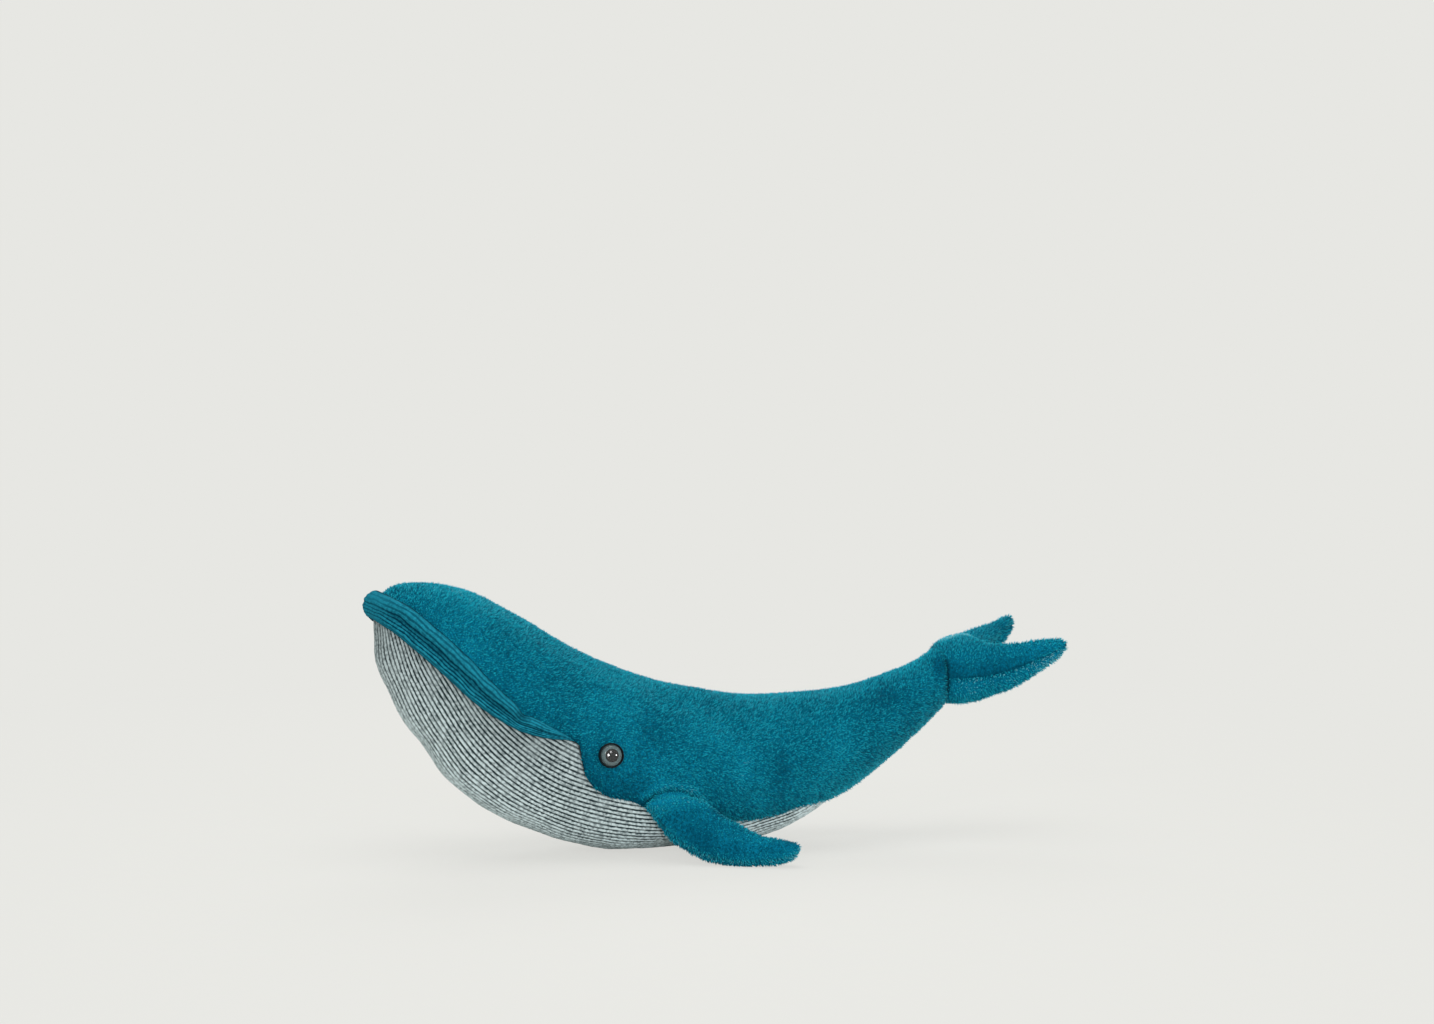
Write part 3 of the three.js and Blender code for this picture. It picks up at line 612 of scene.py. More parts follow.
def makeBackPlush():
    look, columns = backPlush, backPlush["columns"]
    stations = evenStations(look["start"], bodyForm["endStation"], look["rowStep"])
    seams = seamTurn(stations)[:, None]
    turns = seams * np.linspace(-1, 1, columns)[None]
    rows = stations[:, None] + 0 * turns
    skin, out = bodyPlace(rows, turns), bodyOut(rows, turns)
    girth = runLength(skin)
    fromSeam = np.minimum(girth, girth[:, -1:] - girth)
    closed = look["closedShare"] * easeStep(rows, *look["closes"])
    groove = np.exp(-fromSeam / look["seamWidth"]) * (1 - closed)
    raised = clothHeight(rows, turns, skin, look)
    raised += look["clumpHeight"] * grain(skin, look["clumpSize"], 5)
    raised -= look["seamDepth"] * groove + look["inset"]
    # The cloth stands up in a ridge where the fin is sewn in
    ridgePlaces = np.linspace(0, len(look["ridge"]) - 1, look["ridgePoints"])
    line = bodyPlace(*curveThrough(look["ridge"], ridgePlaces).T)
    near = skin * np.where(skin[..., 1:2] < 0, acrossMirror, 1)
    gaps = np.linalg.norm(near[:, :, None] - line[None, None], axis=3)
    toRidge = gaps.min(axis=2)
    below = near[..., 2] < line[gaps.argmin(axis=2), 2]
    ridge = bell(toRidge, look["ridgeReach"])
    raised += look["ridgeHeight"] * ridge
    toEnd = np.linalg.norm(skin - skin[-1:], axis=2)
    gaping = 1 - look["tailClosed"] * easeStep(skin[..., 2] - tailHinge[2], *look["tailCloses"])
    raised -= look["endDepth"] * gaping * bell(toEnd, look["endCrease"])
    raised -= look["eyeDimple"] * np.exp(-((fromEye(skin) / look["eyeReach"]) ** 4))
    outer = skin + out * raised[..., None]
    outer[..., 2] = np.maximum(outer[..., 2], look["floor"])
    few = backingShares(look)[None]
    along, halfGirth = runLength(skin[:, columns // 2]), girth[:, -1:] / 2
    ring, clothMap = backedPanel(
        outer, stations, seams * few, look["wall"], along, girth - halfGirth, halfGirth * few
    )
    # Rounded end inside the tail's seam
    caps = np.array(look["caps"])[:, None, None]
    heart = ring[-1].mean(axis=0)
    cap = heart + (ring[-1] - heart)[None] * caps + np.array(look["capOut"]) * (1 - caps)
    capped = np.concatenate([ring, cap])
    capMap = np.concatenate([clothMap, np.repeat(clothMap[-1:], len(caps), axis=0)])
    capMap[len(ring) :, :, 0] += look["capStep"] * np.arange(1, len(caps) + 1)[:, None]
    piece = gridPiece("backPlush", capped, capMap * look["mapScale"])
    # Painted shade: dark all over on the cap and the inside of the wall, and darker in the gaping tail seam
    # and the side seams' grooves
    paintedShade = np.ones(capped.shape[:2])
    least, more = look["tailShadeReach"]
    endCrease = gaping * bell(toEnd, least + more * gaping)
    paintedShade[: len(outer), :columns] = np.maximum(endCrease, look["seamGrooveShade"] * groove)
    setPointValues(piece, "paintedShade", paintedShade)
    closePiece(piece)
    pile = easeStep(fromEye(outer), *look["eyeBare"])
    slope, level = look["bareSlope"]
    pile = pile * easeStep(toEnd - slope * (gaping - level), *look["tailBare"])
    longer = 1 + look["longerBy"] * np.exp(-fromSeam / look["longerReach"])
    # The pile's tone holds the painted shade and painted light of the spots, the ridge and the fold
    tone = spotSum(lightAndShadeSpots, rows, turns) + look["ridgeLight"] * ridge + band(toRidge, look["foldShade"]) * below
    return piece, outer, pile, longer, tone


# Grey corduroy under the chin, throat and belly. Its columns follow the ribs.

throatCord = {
    "start": 0.19, "end": 12.7, "rib": 0.00335, "perRib": 6, "rowStep": 0.0017, "sweepPoints": 400,
    "backingColumns": 12, "wall": 0.0065, "ribHeight": 0.0014, "ribShape": 0.7, "ribSink": 0.6,
    "pressed": 0.25, "pressedSize": 0.03,
    "nubSize": 0.0017, "nubHeight": 0.00022, "lumpSize": 0.06, "lumpHeight": 0.00035, "lumpSeed": 7,
    "seamWidth": 0.003, "seamDepth": 0.0016, "wander": 0.00025, "wanderSize": 0.09, "inset": 0.0022,
    "widen": 0.75, "widenReach": 0.032, "flat": 0.0003, "flatGroove": 0.0006,
    # Painted shade by the seam under the lip roll and along the middle of the chin, up to a station, and
    # crests lighter in worn patches and along the middle of the belly
    "shade": 0.4, "shadeReach": 0.05, "shadeEnd": (5.5, 9), "chinShade": (0.2, 0, 0.022), "chinEnd": (4, 8),
    "wearAndLight": 0.2, "wornSize": 0.02, "bellyMiddleLighter": (0.12, 0, 0.03),
}


def makeThroatCord():
    look = throatCord
    stations = evenStations(look["start"], look["end"], look["rowStep"])
    step = look["rib"] / look["perRib"]
    seams = seamTurn(stations)[:, None]
    sweep = 1 - (1 - seams) * np.linspace(0, 1, look["sweepPoints"])[None]
    run = runLength(bodyPlace(stations[:, None] + 0 * sweep, sweep))
    half = int(run[:, -1].max() / step) + 2
    ribPlace = np.arange(-half, half + 1) * step
    # The ribs lie further apart towards the middle of the belly, where the cloth is drawn wide
    fromMiddle = np.abs(ribPlace)
    widened = look["widen"] * look["widenReach"] * np.tanh(fromMiddle / look["widenReach"])
    spread = fromMiddle + widened
    size = np.minimum(spread[None], run[:, -1:])
    ribRun = np.interp(size, spread[half:], ribPlace[half:])
    turns = np.array([np.interp(*row) for row in zip(size, run, sweep)])
    signed = turns * np.where(ribPlace < 0, -1, 1)[None]
    signed[:, half] = 1
    rows = stations[:, None] + 0 * signed
    skin, out = bodyPlace(rows, signed), bodyOut(rows, signed)
    fromSeam = run[:, -1:] - size
    across = ribRun + look["wander"] * lumps(skin, look["wanderSize"], 11)
    rib = np.cos(np.pi * across / look["rib"]) ** 2
    pressed = 1 - look["pressed"] * np.clip(lumps(skin, look["pressedSize"], 13), -1, 1)
    nub = grain(skin, look["nubSize"], 17)
    raised = clothHeight(rows, signed, skin, look)
    raised += look["ribHeight"] * (rib ** look["ribShape"] * pressed - look["ribSink"])
    raised += look["nubHeight"] * nub * rib
    raised -= look["seamDepth"] * np.exp(-fromSeam / look["seamWidth"]) + look["inset"]
    outer = skin + out * raised[..., None]
    outer[..., 2] = np.maximum(outer[..., 2], look["flat"] + look["flatGroove"] * (1 - rib))
    few = backingShares(look)[None]
    innerTurns = (1 - (1 - seams) * np.abs(few)) * np.where(few < 0, -1, 1)
    ring, clothMap = backedPanel(
        outer, stations, innerTurns, look["wall"], runLength(bodyPlace(stations, 1.0)),
        np.sign(ribPlace)[None] * across, run[:, -1:] * few,
    )
    piece = gridPiece("throatCord", ring, clothMap / look["rib"])
    # Painted shade by the seam and at the chin; wear lightens the crests in patches, and they are lighter
    # along the belly's middle
    shade, wearAndLight = np.zeros((2,) + ring.shape[:2])
    shown = slice(0, len(ribPlace))
    seamShade = look["shade"] * bell(fromSeam, look["shadeReach"])
    shade[:, shown] = seamShade * (1 - easeStep(rows, *look["shadeEnd"]))
    shade[:, shown] += band(size, look["chinShade"]) * (1 - easeStep(rows, *look["chinEnd"]))
    wearAndLight[:, shown] = look["wearAndLight"] * np.clip(lumps(skin, look["wornSize"], 19), 0, 1)
    wearAndLight[:, shown] += band(size, look["bellyMiddleLighter"])
    setPointValues(piece, "paintedShade", shade)
    setPointValues(piece, "wearAndLight", wearAndLight)
    closePiece(piece)
    return piece


plush, *plushRows = makeBackPlush()
print("Teal plush made:", len(plush.data.polygons), "faces")
cord = makeThroatCord()
print("Grey cord made:", len(cord.data.polygons), "faces")


# Pile: small leaning tufts over a sheet of places

napLook = {
    "spacing": 0.00125, "length": 0.0022, "width": 0.0006, "lean": 0.55, "swirl": 0.25, "patch": 0.0014,
    "swirlSize": 0.028, "swirlSpread": 0.45, "leanSpread": 0.16, "leanRange": (0.1, 1.3), "foot": 0.6,
    "lengthRange": (0.7, 1.25), "widthRange": (0.8, 1.25), "patchTone": 0.62, "ownTone": 0.62,
    "darker": 0.12, "brightest": 1.6,
}


def pilePiece(name, sheet, share, longer, shading, nap, seed):
    chance = np.random.default_rng(seed)
    outward = sheetNormals(sheet)
    a, b = sheet[:-1, :-1], sheet[1:, :-1]
    c, d = sheet[1:, 1:], sheet[:-1, 1:]
    area = np.linalg.norm(np.cross(c - a, b - d), axis=2) / 2
    spread = area * (share[:-1, :-1] + share[1:, 1:]) / 2
    total = np.concatenate([[0], np.cumsum(spread.ravel())])
    count = int(total[-1] / nap["spacing"] ** 2)
    picked = (np.arange(count) + chance.uniform(0, 1, count)) / count * total[-1]
    cell = np.clip(np.searchsorted(total, picked) - 1, 0, spread.size - 1)
    row, column = np.unravel_index(cell, spread.shape)
    u, v = chance.uniform(0, 1, (2, count))[:, :, None]

    def between(values):
        return readCells(values if values.ndim == 3 else values[..., None], row, column, u, v)

    place, out, size = between(sheet), unit(between(outward)), between(longer)
    lie = between(nap["lie"]) if isinstance(nap["lie"], np.ndarray) else np.array(nap["lie"])[None]
    lie = unit(lie - out * (lie * out).sum(1, keepdims=True))
    side = np.cross(out, lie)
    swirl = nap["swirl"] * lumps(place, nap["swirlSize"], seed + 1)[:, None]
    swirl = swirl + chance.normal(0, nap["swirlSpread"], (count, 1))
    lie = lie * np.cos(swirl) + side * np.sin(swirl)
    lean = np.clip(chance.normal(nap["lean"], nap["leanSpread"], (count, 1)), *nap["leanRange"])
    along = out * np.cos(lean) + lie * np.sin(lean)
    patch = np.clip(0.5 + 0.95 * grain(place, nap["patch"], seed + 2), 0, 1)
    length = nap["length"] * size * chance.uniform(*nap["lengthRange"], (count, 1))
    length = length * (0.8 + 0.4 * patch[:, None])
    sideways = unit(np.cross(along, out) + 1e-6)
    upward = np.cross(along, sideways)
    turn = chance.uniform(0, 2 * np.pi, count)
    width = nap["width"] * chance.uniform(*nap["widthRange"], (count, 1))
    points = np.empty((count, 4, 3))
    for corner in range(3):
        angle = (turn + corner * 2 * np.pi / 3)[:, None]
        foot = sideways * np.cos(angle) + upward * np.sin(angle)
        points[:, corner] = place + foot * width - out * nap["width"] * nap["foot"]
    points[:, 3] = place + along * length
    mesh = bpy.data.meshes.new(name)
    start = np.arange(count)[:, None] * 4
    faces = np.array([[0, 1, 3], [1, 2, 3], [2, 0, 3]])
    corners = (start[:, :, None] + faces[None]).reshape(-1)
    mesh.vertices.add(count * 4)
    mesh.vertices.foreach_set("co", points.astype(np.float32).ravel())
    mesh.loops.add(len(corners))
    mesh.loops.foreach_set("vertex_index", corners.astype(np.int32))
    mesh.polygons.add(count * 3)
    mesh.polygons.foreach_set("loop_start", np.arange(0, len(corners), 3, dtype=np.int32))
    mesh.update(calc_edges=True)
    # One small cell of the map for each tuft
    cells = int(math.ceil(math.sqrt(count)))
    cellPlace = np.stack([np.arange(count) % cells, np.arange(count) // cells], axis=1)[:, None, None]
    shape = np.array([
        [[0.1, 0.1], [0.45, 0.1], [0.28, 0.85]], [[0.5, 0.1], [0.85, 0.1], [0.68, 0.85]],
        [[0.92, 0.85], [0.58, 0.9], [0.75, 0.15]],
    ])
    layer = mesh.uv_layers.new(name="OFBake")
    layer.data.foreach_set("uv", ((cellPlace + shape[None]) / cells).astype(np.float32).ravel())
    tone = nap["patchTone"] * patch + nap["ownTone"] * chance.uniform(0, 1, count) - nap["darker"]
    # The shading adds painted light and painted shade to each tuft's tone
    tone = np.clip(tone + between(shading)[:, 0], 0, nap["brightest"])
    piece = bpy.data.objects.new(name, mesh)
    setPointValues(piece, "tipShare", np.tile([0, 0, 0, 1.0], count))
    setPointValues(piece, "tuftTone", np.repeat(tone, 4))
    bpy.context.scene.collection.objects.link(piece)
    chooseOnly(piece)
    bpy.ops.object.shade_smooth()
    print(f"  {name}: {count} tufts")
    return piece


# Pillows of two cloths: rings round a leaf from its front edge over the top and back below


def leafRings(table, rows, columns, edge=0.0):
    places = np.linspace(0, len(table) - 1, rows)
    values = curveThrough(table, places)
    angle = np.linspace(0, 2 * np.pi, columns + 1)
    across = (1 - np.cos(angle))[None, :, None] / 2
    plan = values[:, None, 0:2] * (1 - across) + values[:, None, 2:4] * across
    half = np.maximum(values[:, 4:5], 0) * np.sin(angle)[None]
    return plan, half + edge * np.clip(8 * np.sin(angle), -1, 1)[None], angle, places


# Lengths that turn a leaf's outline into metres: front edge, rear edge and swell
def leafSizes(length, reach, swell):
    return np.array([length, reach, length, reach, swell])


def seamGrooves(rings, look, seed):
    run = runLength(rings)
    middle = run[:, rings.shape[1] // 2][:, None]
    near = np.minimum(np.minimum(run, run[:, -1:] - run), np.abs(run - middle))
    # Small puckers that the stitches draw along the seam
    pucker = look["puckerHeight"] * grain(rings * np.array([1, 1, 0.4]), look["puckerSize"], seed)
    raised = pucker * np.exp(-near / look["puckerReach"]) - look["seamDepth"] * bell(near, look["seamWidth"])
    raised += look["lumpHeight"] * lumps(rings, look["lumpSize"], seed + 1)
    raised += look["clumpHeight"] * grain(rings, look["clumpSize"], seed + 2)
    return raised, near, run


# A leaf's mesh with its cloth map and the painted shade of its creases
def leafPiece(name, rings, run, paintedShade):
    clothMap = np.stack([runLength(rings[:, 0])[:, None] + 0 * run, run], axis=2)
    piece = gridPiece(name, rings, clothMap * backPlush["mapScale"])
    setPointValues(piece, "paintedShade", paintedShade)
    closePiece(piece)
    return piece


# Side fins, sewn on at the root and drooping to the floor

finForm = {
    "length": 0.080, "reach": 0.0557, "swell": 0.0123, "edge": 0.0008, "twist": 0.0385, "pivot": 0.743,
    "ramp": 0.37, "rows": 96, "columns": 88, "seamWidth": 0.0022, "seamDepth": 0.0011,
    "puckerSize": 0.006, "puckerHeight": 0.0005, "puckerReach": 0.006, "lumpSize": 0.035,
    "lumpHeight": 0.0005, "clumpSize": 0.0034, "clumpHeight": 0.0003, "floor": 0.0004, "pile": 0.0019,
    "back": (0.999931, -0.008098, 0.008516), "inward": (-0.000477, 0.696083, 0.717961),
    "upward": (-0.011742, -0.717915, 0.696031),
    # Bumps as height, middle and reach. The stitches of the root draw the cloth in
    # Painted shade along the seams; painted light on the front edge, the root's ridge, by the rear seam and
    # at the tip; painted shade in the root's fold, behind the front edge and in a dip
    "rootStitch": (0.0016, -0.006, 0.003), "seamGrooveShade": (0.3, 0, 0.0022),
    "frontLight": (0.5, 0, 0.0075), "rootLightShade": (0.35, 0.001, 0.003), "foldShade": (-0.4, 0.0075, 0.003),
    "shadeTone": (-0.45, 0.0115, 0.005), "seamLight": (0.2, 0, 0.004), "tipLight": (0.45, 0, 0.008),
    "dip": {"tone": -0.35, "row": 3.9, "rows": 1.1, "middle": 0.013, "reach": 0.006},
    "outline": [
        (-0.09, -0.25, 0.1, -0.245, 0.28), (-0.215, -0.16, 0.17, -0.145, 0.54),
        (-0.29, -0.04, 0.25, -0.03, 0.69), (-0.175, 0.09, 0.33, 0.045, 0.853),
        (0.017, 0.376, 0.415, 0.159, 0.908), (0.185, 0.605, 0.512, 0.273, 0.913),
        (0.36, 0.745, 0.6, 0.392, 0.848), (0.517, 0.848, 0.69, 0.506, 0.761), (0.676, 0.9, 0.772, 0.6, 0.69),
        (0.817, 0.934, 0.858, 0.675, 0.63), (0.932, 0.937, 0.935, 0.735, 0.56),
        (0.994, 0.896, 0.99, 0.795, 0.42), (1.012, 0.847, 1.014, 0.85, 0.14),
    ],
}


def makeFin(name, seed):
    look = finForm
    table = np.array(look["outline"]) * leafSizes(look["length"], look["reach"], look["swell"])
    plan, half, _, places = leafRings(table, look["rows"], look["columns"], look["edge"])
    x, y, row = plan[..., 0], plan[..., 1], places[:, None]
    out = np.maximum(y / look["reach"], 0)
    lift = look["twist"] * (x / look["length"] - look["pivot"]) * out / (out + look["ramp"])
    rings = np.array(joints["fin_left_flap"]["pos_m"]) + x[..., None] * np.array(look["back"])
    rings = rings - y[..., None] * np.array(look["inward"])
    rings = rings + (half + lift)[..., None] * np.array(look["upward"])
    raised, near, run = seamGrooves(rings, look, 40)
    raised -= band(y, look["rootStitch"])
    rings = rings + sheetNormals(rings) * raised[..., None]
    rings[..., 2] = np.maximum(rings[..., 2], look["floor"])
    rings[:, -1] = rings[:, 0]
    longer = 1 + 0.1 * np.exp(-near / 0.005) + 0.15 * easeStep(row, 9.5, 12)
    fromFront, free, dip = np.minimum(run, run[:, -1:] - run), easeStep(row, 3, 5), look["dip"]
    # Painted light and painted shade on the pile's tone
    shading = band(fromFront, look["frontLight"]) * (0.4 + 0.6 * free)
    shading = shading + (band(y, look["rootLightShade"]) + band(y, look["foldShade"])) * (1 - free)
    shading = shading + band(fromFront, look["shadeTone"]) * free
    inDip = bell(row - dip["row"], dip["rows"], fromFront - dip["middle"], dip["reach"])
    shading = shading + dip["tone"] * inDip + band(near, look["seamLight"]) * (fromFront > 0.012)
    shading = shading + band(near, look["tipLight"]) * easeStep(row, 9.0, 11.5)
    pile = easeStep(row, 0.4, 1.0) + 0 * near
    lie = np.gradient(rings, axis=0)
    if name == "Right":
        rings, lie = rings * acrossMirror, lie * acrossMirror
    # Painted shade on the bare cloth at the root and along the seams
    paintedShade = np.maximum(0.6 * (1 - pile), band(near, look["seamGrooveShade"]))
    piece = leafPiece("fin" + name, rings, run, paintedShade)
    nap = {**napLook, "length": look["pile"], "lie": lie}
    return piece, pilePiece("fin" + name + "Pile", rings, pile, longer, shading, nap, seed)


# Tail flukes: one stuffed pair of lobes, drawn in at the seam of the tail

flukeForm = {
    "length": 0.078, "halfSpan": 0.0585, "swell": 0.0218, "rise": 0.027, "bend": 1.77, "roll": 4.2,
    "rows": 168, "columns": 116, "seamWidth": 0.0026, "seamDepth": 0.0017,
    "puckerSize": 0.007, "puckerHeight": 0.0008, "puckerReach": 0.008, "lumpSize": 0.04,
    "lumpHeight": 0.0006, "clumpSize": 0.0034, "clumpHeight": 0.0003, "shoulder": 0.0016, "sag": 0.0004,
    # The top of the root stands up as a hump behind the seam
    "hump": {"height": 0.0045, "x": 0.023, "reach": 0.014, "spread": 0.017},
    # Painted shade on the top by the front seam, at the root and along the seams; painted light on the
    # underside by the front seam, the hump's ridge and the tips
    "pinch": (0.06, 0, 0.0055), "seamGrooveShade": (0.35, 0, 0.0022), "topShade": (-0.65, 0.004, 0.0075),
    "underEdgeLight": (0.42, 0, 0.016), "humpLight": (1.3, 0.007, 0.007), "rootLightShade": (-0.4, 0, 0.006),
    "tipLight": 0.5, "plainTone": 0.12,
    "outline": [
        (-0.3, 0.0, 0.5, 0.0, 1.04), (-0.27, 0.16, 0.54, 0.16, 0.994), (-0.12, 0.34, 0.554, 0.32, 0.969),
        (0.088, 0.5, 0.673, 0.49, 0.868), (0.321, 0.66, 0.808, 0.65, 0.732),
        (0.544, 0.79, 0.937, 0.78, 0.557), (0.713, 0.885, 1.02, 0.875, 0.402),
        (0.825, 0.945, 1.04, 0.94, 0.283),
        (0.895, 0.98, 1.05, 0.975, 0.173), (0.942, 0.997, 1.05, 0.996, 0.04),
    ],
}


def makeFlukes():
    look, hump = flukeForm, flukeForm["hump"]
    lobe = np.array(look["outline"])
    other = lobe[:0:-1] * np.array([1, -1, 1, -1, 1])
    table = np.concatenate([other, lobe]) * leafSizes(look["length"], look["halfSpan"], look["swell"])
    plan, half, angle, _ = leafRings(table, look["rows"], look["columns"])
    x, y = plan[..., 0], plan[..., 1]
    lift = look["rise"] * np.maximum(x / look["length"], 0) ** look["bend"]
    outShare = np.abs(y) / look["halfSpan"]
    sag = look["sag"] * (easeStep(outShare, 0.12, 0.45) * (1 - easeStep(outShare, 0.7, 1)))
    half = half - sag * np.sign(half) * np.sin(angle)[None] ** 2
    lift = lift - sag + math.tan(math.radians(look["roll"])) * y
    top = np.maximum(np.sin(angle), 0)[None]
    lift = lift + hump["height"] * top * bell(x - hump["x"], hump["reach"], y, hump["spread"])
    x = look["shoulder"] * np.logaddexp(0, x / look["shoulder"])
    drawn = 1 - band(x, look["pinch"])
    y, half = y * drawn, half * drawn
    rings = np.stack([x, y, half + lift], axis=2) + np.array(tailHinge)
    raised, near, run = seamGrooves(rings, look, 60)
    rings = rings + sheetNormals(rings) * (raised * easeStep(x, 0.002, 0.008))[..., None]
    rings[:, -1] = rings[:, 0]
    tips = easeStep(outShare, 0.8, 1.0)
    longer = 1 + 0.12 * np.exp(-near / 0.005) + 0.2 * tips
    closing = 0.75 * easeStep(rings[..., 2] - tailHinge[2], *backPlush["tailCloses"])
    pile = np.maximum(easeStep(x, 0.0001, 0.0016), closing)
    fromFront, above = np.minimum(run, run[:, -1:] - run), np.sin(angle)[None] > 0
    # Painted shade and painted light on the pile's tone
    shading = np.where(above, band(fromFront, look["topShade"]), band(fromFront, look["underEdgeLight"]))
    shading = shading * easeStep(outShare, 0.15, 0.4) + look["tipLight"] * tips + look["plainTone"]
    shading = shading + band(y, look["humpLight"]) * above * easeStep(x, 0.001, 0.009)
    shading = shading + band(x, look["rootLightShade"]) * (1 - closing)
    # Painted shade where the seam at the root gapes and along the seams
    paintedShade = 0.9 * (1 - closing) * (1 - easeStep(x, 0.0, 0.0025))
    piece = leafPiece("tailFlukes", rings, run, np.maximum(paintedShade, band(near, look["seamGrooveShade"])))
    lie = np.stack([0.8 + 0 * y, 0.6 * y / look["halfSpan"], 0.2 + 0 * y], axis=2)
    nap = {**napLook, "lie": lie}
    return piece, pilePiece("tailFlukesPile", rings, pile, longer, shading, nap, 61)


# Mouth roll: teal cord swept round the snout along the seam, with ribs that run lengthwise

lipForm = {
    "width": 0.022, "proud": 0.0065, "sink": 0.0025, "ribs": 8, "perRib": 6, "step": 0.0013,
    "ribHeight": 0.0009, "nubSize": 0.0017, "backColumns": 7, "smooth": 4, "pathPoints": 900,
    "shares": [
        (6.42, 0.06, 0.12), (6.15, 0.3, 0.4), (5.8, 0.52, 0.65), (5.3, 0.72, 0.85), (4.7, 0.88, 1.0),
        (4.0, 0.97, 1.0), (3.3, 1.0, 1.0), (2.7, 1.0, 1.0), (2.1, 1.0, 0.97), (1.5, 0.98, 0.92),
        (1.0, 0.96, 0.95), (0.5, 0.93, 1.02), (0.0, 0.92, 1.08),
    ],
    # Height over the body from the upper edge to the lower: a proud fold, a trough and a low band
    "profile": [
        (0.0, -0.15), (0.04, 0.58), (0.1, 1.0), (0.18, 1.28), (0.28, 1.28), (0.37, 1.04), (0.45, 0.7),
        (0.51, 0.54), (0.58, 0.58), (0.68, 0.74), (0.78, 0.8), (0.88, 0.66), (0.95, 0.34), (1.0, -0.15),
    ],
    "plain": [
        (0.0, -0.15), (0.07, 0.5), (0.18, 0.9), (0.32, 1.08), (0.45, 1.0), (0.53, 0.72), (0.58, 0.6),
        (0.64, 0.8), (0.76, 0.86), (0.88, 0.62), (1.0, -0.15),
    ],
    # Which rib a place across lies on, counted from the upper edge
    "ribPlaces": [(0.0, 0.0), (0.44, 2.7), (0.52, 3.3), (1.0, 7.6)],
    "kink": (1, 5.42, 0.13), "kinkDepth": 0.0026, "wander": 0.12, "wanderSize": 0.018,
    "snoutUp": 0.0016, "bulb": 1.02, "bulbShape": 0.62, "bulbSink": 0.12, "bulbNotch": (0.12, 0.52, 0.05),
    # Painted shade in the creases across the roll: at the trough, in the low band, and along the rear lobe
    "troughShade": (0.45, 0.52, 0.03), "bandShade": (0.5, 0.6, 0.14), "lobeShade": (1, 0.56, 0.03),
    "edgeReach": 0.03,
}


